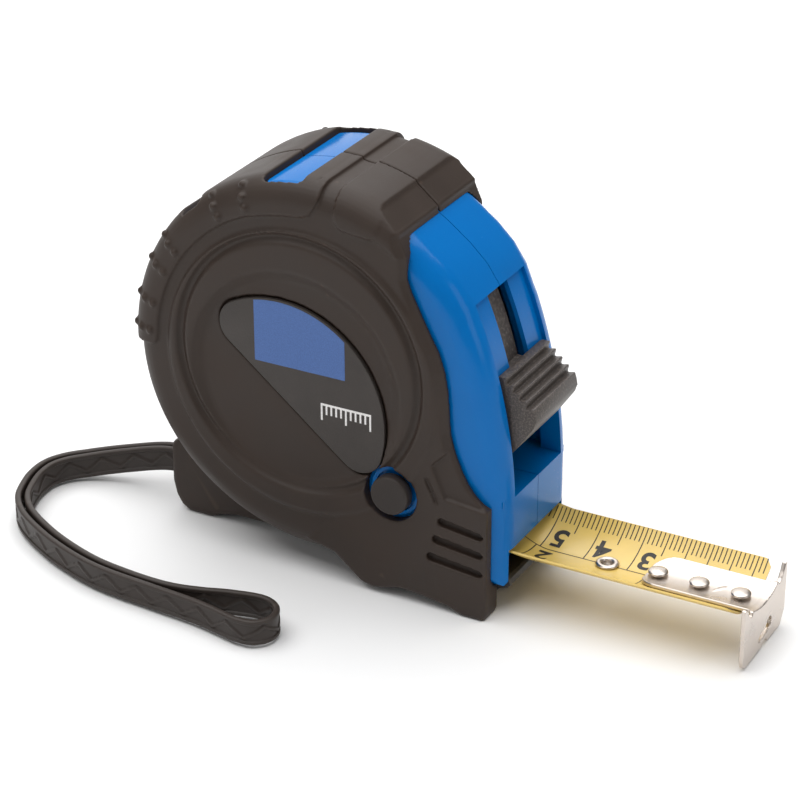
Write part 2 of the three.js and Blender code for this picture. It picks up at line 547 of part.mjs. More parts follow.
// Wrist strap: one flat band, folded in a loop, standing on its edge.
const strapWidth = 6.6;
const strapThick = 1.4;
const strapRoute = [
  [-70.8, 1.05, 8.6], [-79, 1.1, 8.2], [-89.4, -0.7, 5.9], [-98.2, -3.9, 4], [-102.6, -7.6, 3.6],
  [-104.6, -12, 3.6], [-104.6, -17.5, 3.6], [-103, -23.4, 3.6], [-100.6, -28.6, 3.6],
  [-95.8, -33.7, 3.6], [-86, -39.6, 3.6], [-77.8, -43.1, 3.6], [-70.8, -45.3, 3.6],
  [-64.6, -46.4, 3.6], [-54.5, -47.2, 3.6], [-41.9, -48.2, 3.6], [-36, -49.3, 3.6],
  [-31.2, -50.2, 3.6], [-27.3, -49.6, 3.6], [-25.1, -46.6, 3.6], [-25.9, -42.7, 3.6],
  [-29.8, -40.3, 3.6], [-37.3, -41.4, 3.6], [-43.6, -43.5, 3.6], [-49, -44.8, 3.6],
  [-54.33, -45.11, 3.6], [-64.36, -44.31, 3.6], [-70.29, -43.26, 3.6], [-77.06, -41.13, 3.6],
  [-85.03, -37.74, 3.6], [-94.54, -32.02, 3.6], [-98.88, -27.4, 3.6], [-101.02, -22.69, 3.6],
  [-102.52, -17.21, 3.6], [-102.54, -12.42, 3.6], [-100.95, -8.9, 3.6], [-97.23, -5.76, 4],
  [-88.87, -2.73, 5.9], [-78.8, -0.99, 8.2], [-70.8, -1.05, 8.6],
];
const strap = standing(strapRoute, strapThick, strapWidth, 150);
const strapPin = upright([[0, 4.8], [0.9, 4.8], [0.9, 12.7], [0, 12.7]], -68.9, 0, 16);

// ---- assembly -----------------------------------------------------------------------------
const look = {
  blue: { color: 0x0a66b7, roughness: 0.3 },
  rubber: { color: 0x403834, roughness: 0.75 },
  dark: { color: 0x34302d, roughness: 0.6 },
  plastic: { color: 0x2a2a2c, roughness: 0.6 },
  nickel: { color: 0xc9c2bb, roughness: 0.25, metalness: 1 },
  steel: { color: 0x9a9a9c, roughness: 0.35, metalness: 1 },
  yellow: { color: 0xf2c94c, roughness: 0.35 },
};
const group = new THREE.Group();
group.name = 'tape_measure';
function part(name, body, kind) {
  const geometry = geometryOf(body);
  const mesh = new THREE.Mesh(geometry, new THREE.MeshStandardMaterial(look[kind]));
  mesh.name = name;
  group.add(mesh);
}

part('right_case', caseHalfBody('right'), 'blue');
part('left_case', caseHalfBody('left'), 'blue');
part('right_grip', gripBody('right'), 'rubber');
part('left_grip', gripBody('left'), 'rubber');
part('mouth_shoe', shoe, 'dark');
part('right_badge', badge, 'dark');
part('lock_slider', slider, 'plastic');
part('stop_button', button, 'dark');
part('stop_button_spring', spring, 'steel');
part('spindle', spindle, 'plastic');
part('drum_hub', drum, 'plastic');
part('drum_flange_right', drumFlange(-1), 'plastic');
part('drum_flange_left', drumFlange(1), 'plastic');
part('tape_coil', coilBody, 'yellow');
part('mainspring', mainspring, 'steel');
part('blade', blade, 'yellow');
part('end_hook', hook, 'nickel');
rivetX.forEach((x, i) => part(`hook_rivet_${i + 1}`, rivet(x), 'nickel'));
part('blade_eyelet', eyeletBody, 'nickel');
screwSpots.forEach((spot, i) => part(`case_screw_${i + 1}`, screw(spot), 'steel'));
part('belt_clip', clip.subtract(clipHole), 'nickel');
part('belt_clip_screw', clipScrew, 'steel');
part('strap_pin', strapPin, 'steel');
part('wrist_strap', strap, 'rubber');

export default group;
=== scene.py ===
"""Pocket tape measure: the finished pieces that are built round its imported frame, and a small studio."""

import math

import bmesh
import bpy
from bpy.props import FloatProperty, FloatVectorProperty, IntProperty, PointerProperty
from bpy.types import Operator, Panel, PropertyGroup
from mathutils import Matrix, Vector


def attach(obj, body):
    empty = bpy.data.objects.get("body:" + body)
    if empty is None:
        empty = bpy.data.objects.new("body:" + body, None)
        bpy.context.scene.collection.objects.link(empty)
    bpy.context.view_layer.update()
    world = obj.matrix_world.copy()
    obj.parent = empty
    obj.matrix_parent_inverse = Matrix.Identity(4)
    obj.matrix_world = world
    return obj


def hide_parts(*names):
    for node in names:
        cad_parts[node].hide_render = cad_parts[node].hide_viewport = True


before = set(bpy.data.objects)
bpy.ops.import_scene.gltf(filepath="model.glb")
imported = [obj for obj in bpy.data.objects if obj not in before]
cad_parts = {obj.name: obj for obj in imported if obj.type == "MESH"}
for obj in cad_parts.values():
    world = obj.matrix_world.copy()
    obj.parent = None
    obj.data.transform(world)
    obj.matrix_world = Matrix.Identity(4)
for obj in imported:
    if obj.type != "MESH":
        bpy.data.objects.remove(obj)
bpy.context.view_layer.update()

bl_info = {
    "name": "Tape Measure",
    "version": (1, 0, 0),
    "blender": (4, 5, 0),
    "location": "View3D > Sidebar > Tape Measure",
    "description": "Builds a pocket tape measure and the studio it stands in",
    "category": "Object",
}

# Shared layout, in millimetres: X out along the blade, Z up.
DRUM = (-32.0, 47.2)  # axis of the drum, X and Z
CASE_HALF = 16.2
RIM_HALF = 18.5
RING_HALF = 19.3
CASE_R = 40.3
GRIP_R = 42.8
FRONT_X = 12.8
FLOOR_OUT = 6.1
FLOOR_IN = 8.3
UNDER_R = 40.0
FACE = (-103.1, 21.9)
FACE_R = 116.0
WINDOW_LOW = 27.0
WINDOW_TOP = 68.3
BUTTON = (-11.8, 25.2)
BLADE_EDGE_Z = 14.2
BLADE_LOW_Z = 9.6
BLADE_END = 61.5
BLADE_ROOT = 1.5
BLADE_HALF = 11.25  # half the width across the curved blade
SCALE_ZERO = 63.5  # inner face of the hook
RECESS = 1.0  # depth of the slider window
SEAM = 0.1


# ---- sizes and colours a user would change ---------------------------------------------------
class GripSizes(PropertyGroup):
    voxel: FloatProperty(
        name="Moulding grain",
        description="Size of the cells the rubber grips are smoothed at",
        default=0.00034, min=0.0002, unit="LENGTH", subtype="DISTANCE")
    bump_radius: FloatProperty(
        name="Bump radius",
        description="Radius of each round bump on the rear grip band",
        default=0.0009, unit="LENGTH", subtype="DISTANCE")
    colour: FloatVectorProperty(
        name="Rubber colour", description="Colour of the soft grips",
        default=(0.0345, 0.0225, 0.0165), size=3, min=0, max=1, subtype="COLOR")


class CaseSizes(PropertyGroup):
    rounding: FloatProperty(
        name="Side rounding",
        description="Radius where the case's sides turn into its front",
        default=0.0052, unit="LENGTH", subtype="DISTANCE")
    edge: FloatProperty(
        name="Edge rounding",
        description="Small radius on the window and mouth edges",
        default=0.0004, unit="LENGTH", subtype="DISTANCE")
    colour: FloatVectorProperty(
        name="Case colour", description="Colour of the glossy case",
        default=(0.0, 0.15, 0.48), size=3, min=0, max=1, subtype="COLOR")


class BladeSizes(PropertyGroup):
    crown: FloatProperty(
        name="Crown", description="Height of the blade's curved section",
        default=0.0046, unit="LENGTH", subtype="DISTANCE")
    line: FloatProperty(
        name="Line weight", description="Width of a millimetre line",
        default=0.00024, unit="LENGTH", subtype="DISTANCE")
    colour: FloatVectorProperty(
        name="Blade colour", description="Colour of the enamelled blade",
        default=(0.80, 0.56, 0.14), size=3, min=0, max=1, subtype="COLOR")


class StrapSizes(PropertyGroup):
    width: FloatProperty(
        name="Strap width", description="Width of the wrist strap's band",
        default=0.0058, unit="LENGTH", subtype="DISTANCE")
    thickness: FloatProperty(
        name="Strap thickness", description="Thickness of the wrist strap's band",
        default=0.0014, unit="LENGTH", subtype="DISTANCE")
    zigzags: IntProperty(
        name="Zig-zags", description="How many raised zig-zags run along the strap",
        default=34, min=4)


class TapeMeasureSettings(PropertyGroup):
    grip: PointerProperty(type=GripSizes)
    case: PointerProperty(type=CaseSizes)
    blade: PointerProperty(type=BladeSizes)
    strap: PointerProperty(type=StrapSizes)


def settings():
    return bpy.context.scene.tape_measure


# ---- mesh helpers: everything is drawn in millimetres and scaled once at the end ---------------
def arc(cx, cz, r, start, end, n):
    """Points on a circle in X and Z between two angles in degrees."""
    angles = [math.radians(start + (end - start) * i / n) for i in range(n + 1)]
    return [(cx + r * math.cos(a), cz + r * math.sin(a)) for a in angles]


def face_arc(r, z0, z1, n):
    """The curve of the case's front, about its own centre."""
    low, high = (math.degrees(math.asin((z - FACE[1]) / r)) for z in (z0, z1))
    return arc(*FACE, r, low, high, n)


def sector(r0, r1, start, end, n=30):
    """A pie slice about the drum between two radii."""
    return arc(*DRUM, r1, start, end, n) + arc(*DRUM, r0, end, start, n)


def front_band(r0, r1, z0, z1, n):
    """A strip that follows the curve of the case's front between two radii."""
    return face_arc(r1, z0, z1, n) + face_arc(r0, z0, z1, n)[::-1]


def body_curve(top, bottom, start, n):
    """The round back of the body, easing to a smaller radius underneath."""
    points = []
    for i in range(n + 1):
        a = start + (270 - start) * i / n
        t = min(1.0, max(0.0, (a - 190) / 65))
        r = top + (bottom - top) * t * t * (3 - 2 * t)
        points += arc(*DRUM, r, a, a, 1)[:1]
    return points


def mesh_object(name, bm):
    mesh = bpy.data.meshes.new(name)
    bm.to_mesh(mesh)
    bm.free()
    made = bpy.data.objects.new(name, mesh)
    bpy.context.scene.collection.objects.link(made)
    return made


def prism(outline, y0, y1, rim=0.0, segments=6, name="tool"):
    """An outline in X and Z drawn from y0 to y1, with its two rims rounded."""
    bm = bmesh.new()
    face = bm.faces.new([bm.verts.new((x, y0, z)) for x, z in outline])
    drawn = bmesh.ops.extrude_face_region(bm, geom=[face])
    moved = [v for v in drawn["geom"] if isinstance(v, bmesh.types.BMVert)]
    bmesh.ops.translate(bm, verts=moved, vec=(0, y1 - y0, 0))
    bmesh.ops.recalc_face_normals(bm, faces=bm.faces)
    if rim:
        caps = [e for e in bm.edges if abs(e.verts[0].co.y - e.verts[1].co.y) < 1e-6]
        bmesh.ops.bevel(bm, geom=caps, offset=rim, offset_type="OFFSET", segments=segments,
                        profile=0.5, affect="EDGES", material=-1, clamp_overlap=False)
    return mesh_object(name, bm)


def spun(profile, x, z, steps=128, name="tool"):
    """A profile of (radius, y) turned about a line along Y through x, z."""
    bm = bmesh.new()
    verts = [bm.verts.new((x + r, y, z)) for r, y in profile]
    closed = profile[0][0] > 1e-6 or profile[-1][0] > 1e-6
    edges = [bm.edges.new(pair) for pair in zip(verts, verts[1:])]
    if closed:
        edges.append(bm.edges.new((verts[-1], verts[0])))
    bmesh.ops.spin(bm, geom=verts + edges, cent=(x, 0, z), axis=(0, 1, 0), angle=math.tau,
                   steps=steps, use_merge=True, use_duplicate=False)
    bmesh.ops.remove_doubles(bm, verts=bm.verts, dist=1e-4)
    bmesh.ops.recalc_face_normals(bm, faces=bm.faces)
    return mesh_object(name, bm)


def spun_up(profile, x, y, steps=48, name="tool"):
    """A profile of (radius, z) turned about an upright line through x, y."""
    bm = bmesh.new()
    verts = [bm.verts.new((x + r, y, z)) for r, z in profile]
    edges = [bm.edges.new(pair) for pair in zip(verts, verts[1:])]
    if profile[0][0] > 1e-6 or profile[-1][0] > 1e-6:
        edges.append(bm.edges.new((verts[-1], verts[0])))
    bmesh.ops.spin(bm, geom=verts + edges, cent=(x, y, 0), axis=(0, 0, 1), angle=math.tau,
                   steps=steps, use_merge=True, use_duplicate=False)
    bmesh.ops.remove_doubles(bm, verts=bm.verts, dist=1e-4)
    bmesh.ops.recalc_face_normals(bm, faces=bm.faces)
    return mesh_object(name, bm)


def block(x0, x1, y0, y1, z0, z1):
    bm = bmesh.new()
    bmesh.ops.create_cube(bm, size=1)
    bmesh.ops.scale(bm, verts=bm.verts, vec=(x1 - x0, y1 - y0, z1 - z0))
    bmesh.ops.translate(bm, verts=bm.verts, vec=((x0 + x1) / 2, (y0 + y1) / 2, (z0 + z1) / 2))
    return mesh_object("tool", bm)


def balls(points, r):
    bm = bmesh.new()
    for point in points:
        made = bmesh.ops.create_icosphere(bm, subdivisions=3, radius=r)["verts"]
        bmesh.ops.translate(bm, verts=made, vec=point)
    return mesh_object("tool", bm)


def shaped(base, steps, finish=()):
    """The base joined to, cut by or kept inside each tool in turn, then finished by modifiers."""
    tools = []
    for kind, tool in steps:
        m = base.modifiers.new("cut", "BOOLEAN")
        m.operation, m.solver, m.object = kind, "MANIFOLD", tool
        tools.append(tool)
    for kind, values in finish:
        m = base.modifiers.new(kind.lower(), kind)
        for key, value in values.items():
            setattr(m, key, value)
    graph = bpy.context.evaluated_depsgraph_get()
    mesh = bpy.data.meshes.new_from_object(base.evaluated_get(graph))
    if not mesh.polygons:
        raise RuntimeError(base.name + " came out empty")
    base.modifiers.clear()
    base.data = mesh
    for tool in tools:
        bpy.data.objects.remove(tool)
    return base


JOIN, CUT, KEEP = "UNION", "DIFFERENCE", "INTERSECT"


def finished(made, name, body, material, nodes=(), smooth=35.0, mirror=False):
    """Scales a piece to metres, shades it, and ties it to its body."""
    scale = Matrix.Diagonal((0.001, -0.001 if mirror else 0.001, 0.001, 1))
    made.data.transform(scale)
    if mirror:
        made.data.flip_normals()
    made.data.shade_smooth()
    if smooth < 180:
        made.data.set_sharp_from_angle(angle=math.radians(smooth))
    made.name = name
    made.data.name = name
    made.data.materials.clear()
    made.data.materials.append(material)
    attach(made, body)
    if nodes:
        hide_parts(*nodes)
    return made


# ---- outlines -----------------------------------------------------------------------------------
SHOULDER = [(5.0, 63.6), (3.15, 68.2), (0.15, 72.6), (-3.8, 76.4)]  # eases the front into the top
CASE_OUTLINE = ([(FRONT_X, FLOOR_OUT)] + face_arc(FACE_R, WINDOW_LOW, 62.0, 40)
                + SHOULDER + body_curve(CASE_R, UNDER_R, 50, 150)
                + [(DRUM[0] + 8, FLOOR_OUT)])
CASE_INSIDE = ([(FRONT_X - 2.2, FLOOR_IN), (FRONT_X - 2.2, WINDOW_LOW - 2)]
               + face_arc(FACE_R - 4.7, WINDOW_LOW, 66.0, 20)
               + body_curve(38.1, DRUM[1] - FLOOR_IN, 40, 90))
GRIP_OUTLINE = ([(FRONT_X + 2, FLOOR_OUT - 0.5), (FRONT_X + 2, WINDOW_LOW)]
                + face_arc(FACE_R + 2.5, WINDOW_LOW + 2, WINDOW_TOP, 30)
                + body_curve(GRIP_R, UNDER_R + 1.7, 42, 170))
GRIP_FRONT = [  # ahead of this line the case is bare
    (60, 100), (-11, 100), (-11, 82.2), (-9.2, 78.2), (-9.2, 73.5), (-8.2, 70.8), (-5.6, 65.6),
    (-3.8, 62.2), (-2, 58.9), (-0.6, 54.8), (0.2, 50.2), (0.5, 45.6), (0.8, 41.4), (1.6, 38.2),
    (2.5, 35.7), (3.6, 33.2), (4.9, 30.8), (6.5, 28.7), (8.4, 27), (10, 25.9), (10, -5), (60, -5)]
SKIRT = [(9.6, 0), (10, 1.2), (10, 26.7), (-2, 48.2), (-14, 41.2), (-26, 16), (-33, 8.6),
         (-26, 7), (-22.5, 4.2), (-19.4, 1.7), (-16.6, 1), (-13.5, 1.7), (-10.5, 2.6), (-5, 2.2),
         (1.5, 1.2), (4.5, 0)]
LUG = [(-64, 0), (-61, 1.2), (-57, 2), (-43, 2), (-34, 8), (-34, 12), (-66, 26), (-70, 19),
       (-73.4, 16.6), (-73.8, 15.6), (-73.8, 7), (-73, 3.6), (-71.6, 1.2), (-69.6, 0)]


def badge_outline(grow):
    """A disc cut by a slanting chord, with its two corners rounded."""
    cx, cz, big, small, off = -38.8, 38.2, 25.0, 5.4, -2.6
    slope = math.radians(-39)
    mid = math.atan2(-math.cos(slope), math.sin(slope))
    spread = math.acos((off - small) / (big - small))
    points = []
    for sign in (1, -1):
        a = mid + sign * spread
        ax, az = cx + (big - small) * math.cos(a), cz + (big - small) * math.sin(a)
        turn = sorted([mid, a]) if sign > 0 else [a, mid]
        for i in range(13):
            t = turn[0] + (turn[1] - turn[0]) * i / 12
            points.append((ax + (small + grow) * math.cos(t), az + (small + grow) * math.sin(t)))
        if sign > 0:
            for i in range(1, 70):
                t = a + (math.tau - 2 * spread) * i / 70
                points.append((cx + (big + grow) * math.cos(t), cz + (big + grow) * math.sin(t)))
    return points


# ---- materials ----------------------------------------------------------------------------------
class Nodes:
    """A short way to write one material's node tree."""

    def __init__(self, name, **sockets):
        self.material = bpy.data.materials.new(name)
        self.material.use_nodes = True
        self.tree = self.material.node_tree
        self.shader = self.tree.nodes["Principled BSDF"]
        self.coords = self.add("ShaderNodeTexCoord").outputs["Object"]
        self.set(self.shader, sockets)

    def set(self, node, values):
        for key, value in values.items():
            socket = node.inputs[key]
            if isinstance(value, bpy.types.NodeSocket):
                self.tree.links.new(value, socket)
            else:
                socket.default_value = value

    def add(self, kind, values=None, **attributes):
        node = self.tree.nodes.new(kind)
        for key, value in attributes.items():
            setattr(node, key, value)
        self.set(node, values or {})
        return node

    def noise(self, scale, detail=2.0, vector=None):
        return self.add("ShaderNodeTexNoise", {"Vector": vector or self.coords, "Scale": scale,
                                               "Detail": detail}).outputs["Fac"]

    def spread(self, value, low, high, out_low, out_high):
        return self.add("ShaderNodeMapRange", {0: value, 1: low, 2: high, 3: out_low, 4: out_high}).outputs[0]

    def mix(self, factor, a, b):
        node = self.add("ShaderNodeMix", data_type="RGBA")
        self.set(node, {0: factor, 6: a, 7: b})
        return node.outputs[2]

    def math(self, operation, a, b=0.0, c=0.0):
        return self.add("ShaderNodeMath", {0: a, 1: b, 2: c}, operation=operation).outputs[0]

    def bump(self, height, strength, distance, normal=None):
        node = self.add("ShaderNodeBump", {"Height": height, "Strength": strength, "Distance": distance})
        if normal:
            self.set(node, {"Normal": normal})
        return node.outputs[0]

    def axes(self):
        return self.add("ShaderNodeSeparateXYZ", {"Vector": self.coords}).outputs


def rgba(colour, gain=1.0):
    return (*[min(1.0, c * gain) for c in colour], 1.0)


def rubber(name, colour, roughness=0.5, grain=1.0):
    """Soft moulded rubber: a fine grain, paler where it is rubbed, faint smears."""
    n = Nodes(name, **{"Roughness": roughness, "Specular IOR Level": 0.34})
    fine = n.noise(5200 * grain, 3)
    cloud = n.noise(95, 4)
    worn = n.add("ShaderNodeNewGeometry").outputs["Pointiness"]
    rubbed = n.spread(worn, 0.52, 0.62, 0.0, 0.55)
    base = n.mix(n.spread(cloud, 0.35, 0.7, 0.0, 1.0), rgba(colour, 0.92), rgba(colour, 1.1))
    n.set(n.shader, {
        "Base Color": n.mix(rubbed, base, rgba(colour, 1.9)),
        "Roughness": n.spread(cloud, 0.3, 0.75, roughness - 0.05, roughness + 0.09),
        "Normal": n.bump(fine, 0.22, 0.00006)})
    return n.material


def gloss_blue(colour):
    """Glossy moulded plastic with a slight orange-peel and a few fine scuffs."""
    n = Nodes("glossy blue plastic", **{"Specular IOR Level": 0.14, "Coat Weight": 0.1, "Coat Roughness": 0.05,
                                        "Subsurface Weight": 0.06, "Subsurface Scale": 0.001,
                                        "Subsurface Radius": (0.2, 0.5, 1.0)})
    peel = n.noise(420, 2)
    scuffs = n.noise(2600, 5)
    cloud = n.noise(40, 2)
    n.set(n.shader, {
        "Base Color": n.mix(n.spread(cloud, 0.3, 0.7, 0, 1), rgba(colour, 0.96), rgba(colour, 1.04)),
        "Roughness": n.spread(scuffs, 0.35, 0.8, 0.17, 0.3),
        "Normal": n.bump(peel, 0.05, 0.00008)})
    return n.material


def plastic(name, colour, roughness=0.5, grain=3800.0, depth=0.3, speckle=0.0):
    """Spark-textured moulded plastic."""
    n = Nodes(name, **{"Specular IOR Level": 0.45})
    fine = n.noise(grain, 2)
    cloud = n.noise(160, 3)
    base = n.mix(n.spread(cloud, 0.3, 0.7, 0, 1), rgba(colour, 0.9), rgba(colour, 1.12))
    n.set(n.shader, {
        "Base Color": n.mix(n.spread(fine, 0.45, 0.75, 0, speckle), base, rgba(colour, 4)),
        "Roughness": n.spread(fine, 0.3, 0.7, roughness - 0.08, roughness + 0.1),
        "Normal": n.bump(fine, depth, 0.00007)})
    return n.material


def plated(name, colour, roughness=0.2, brushed=(1.0, 1.0, 1.0)):
    """Nickel or zinc plate with drawing lines, handling marks and small scratches."""
    n = Nodes(name, **{"Metallic": 1.0})
    lines = n.add("ShaderNodeMapping", {"Vector": n.coords, "Scale": brushed}).outputs[0]
    drawn = n.noise(900, 3, lines)
    marks = n.noise(190, 4)
    n.set(n.shader, {
        "Base Color": n.mix(n.spread(marks, 0.35, 0.7, 0, 1), rgba(colour, 0.93), rgba(colour, 1.05)),
        "Roughness": n.spread(marks, 0.3, 0.75, roughness, roughness + 0.14),
        "Normal": n.bump(drawn, 0.12, 0.00003)})
    return n.material


def enamel(colour):
    """Yellow enamel under a clear nylon film."""
    n = Nodes("yellow enamel", **{"Specular IOR Level": 0.5, "Coat Weight": 0.35, "Coat Roughness": 0.16})
    cloud = n.noise(120, 3)
    film = n.noise(900, 2)
    n.set(n.shader, {
        "Base Color": n.mix(n.spread(cloud, 0.3, 0.7, 0, 1), rgba(colour, 0.95), rgba(colour, 1.05)),
        "Roughness": n.spread(cloud, 0.3, 0.7, 0.3, 0.4),
        "Normal": n.bump(film, 0.06, 0.00003)})
    return n.material


def ink(name, colour):
    n = Nodes(name, **{"Roughness": 0.42, "Specular IOR Level": 0.4})
    speck = n.noise(4200, 2)
    n.set(n.shader, {"Base Color": n.mix(n.spread(speck, 0.3, 0.75, 0, 1), rgba(colour), rgba(colour, 1.35)),
                     "Normal": n.bump(speck, 0.05, 0.00002)})
    return n.material


MATERIALS = {}


def materials():
    """Every finish, made once."""
    if not MATERIALS:
        s = settings()
        MATERIALS.update(
            rubber=rubber("grip rubber", s.grip.colour),
            button=rubber("button rubber", (0.03, 0.023, 0.02), 0.5),
            strap=rubber("strap rubber", (0.037, 0.028, 0.0235), 0.46, 0.8),
            blue=gloss_blue(s.case.colour),
            dark=plastic("dark plastic", (0.034, 0.031, 0.029)),
            slider=plastic("slider plastic", (0.052, 0.043, 0.038), 0.46, 2400, 0.8, 0.6),
            tongue=plastic("rough dark plastic", (0.06, 0.051, 0.046), 0.6, 1500, 1.0, 0.5),
            badge=plastic("badge plastic", (0.037, 0.03, 0.026), 0.5, 2400, 0.6, 0.1),
            nickel=plated("nickel plate", (0.63, 0.565, 0.51), 0.25),
            zinc=plated("zinc plate", (0.55, 0.55, 0.56), 0.3),
            steel=plated("blued spring steel", (0.32, 0.33, 0.36), 0.28, (1.0, 8.0, 1.0)),
            enamel=enamel(s.blade.colour),
            black=ink("black print", (0.018, 0.015, 0.012)),
            patch=ink("blue print", (0.052, 0.118, 0.32)),
            white=ink("white print", (0.72, 0.7, 0.69)),
        )
    return MATERIALS


# ---- pieces -------------------------------------------------------------------------------------
class TAPE_OT_case(Operator):
    """Two glossy case halves with the slider window, the mouth and the top windows' floor."""

    bl_idname = "tape.case"
    bl_label = "Build the Case"

    def execute(self, context):
        s = settings().case
        for side, mirror in (("right", False), ("left", True)):
            base = prism(CASE_OUTLINE, -CASE_HALF, CASE_HALF, s.rounding * 1000, 10)
            steps = [
                (CUT, prism(CASE_INSIDE, -14.0, 14.0)),
                (JOIN, block(3.0, 11.8, -14.5, 14.5, 25.5, 27)),
                (CUT, prism([(9.8, FLOOR_OUT - 1), (13.8, FLOOR_OUT - 1), (13.8, FLOOR_OUT + 3)]
                            + arc(9.8, FLOOR_OUT + 3, 3, 0, -90, 12), -30, 30)),
                (CUT, prism(face_arc(FACE_R - RECESS, 34, WINDOW_TOP, 24) + [(40, WINDOW_TOP), (40, 34)], -11, 11)),
                (CUT, prism(front_band(FACE_R - 8, FACE_R - RECESS - 1.0, 36.5, WINDOW_TOP - 0.4, 20), -6.8, 6.8)),
                (CUT, block(5.8, 40, -11, 11, WINDOW_LOW, 37.4)),
                (CUT, prism(face_arc(FACE_R - 8, 36.5, WINDOW_TOP, 20) + [(40, WINDOW_TOP), (40, 36.5)], -4.4, 4.4)),
                (CUT, block(7.8, 40, -12.8, 12.8, FLOOR_IN, 15.1)),
                (CUT, block(8, 40, -12.8, 12.8, -5, FLOOR_IN + 0.1)),
                (JOIN, prism(sector(39, CASE_R + 1.7, 92.2, 104.4, 8), -16.2, 16.2, 1.6, 4)),
                (JOIN, prism(sector(39, CASE_R + 1.7, 127.6, 135.8, 8), -16.4, 16.4, 1.6, 4)),
                (KEEP, block(-100, 60, -30, -SEAM, -10, 120)),
            ]
            if side == "right":
                collar = [(4.75, -17.3), (5.5, -17.3), (5.6, -17.2), (5.6, -15.6), (4.75, -15.6)]
                steps += [(JOIN, spun(collar, *BUTTON, 96)), (CUT, spun([(0, -30), (2.2, -30), (2.2, 0), (0, 0)], *BUTTON, 48))]
            shaped(base, steps, [("BEVEL", {"width": s.edge * 1000, "segments": 3, "limit_method": "ANGLE",
                                            "angle_limit": math.radians(38), "use_clamp_overlap": True,
                                            "harden_normals": False})])
            finished(base, side + "_case_shell", "case", materials()["blue"],
                     [side + "_case"], 40, mirror)
        return {"FINISHED"}


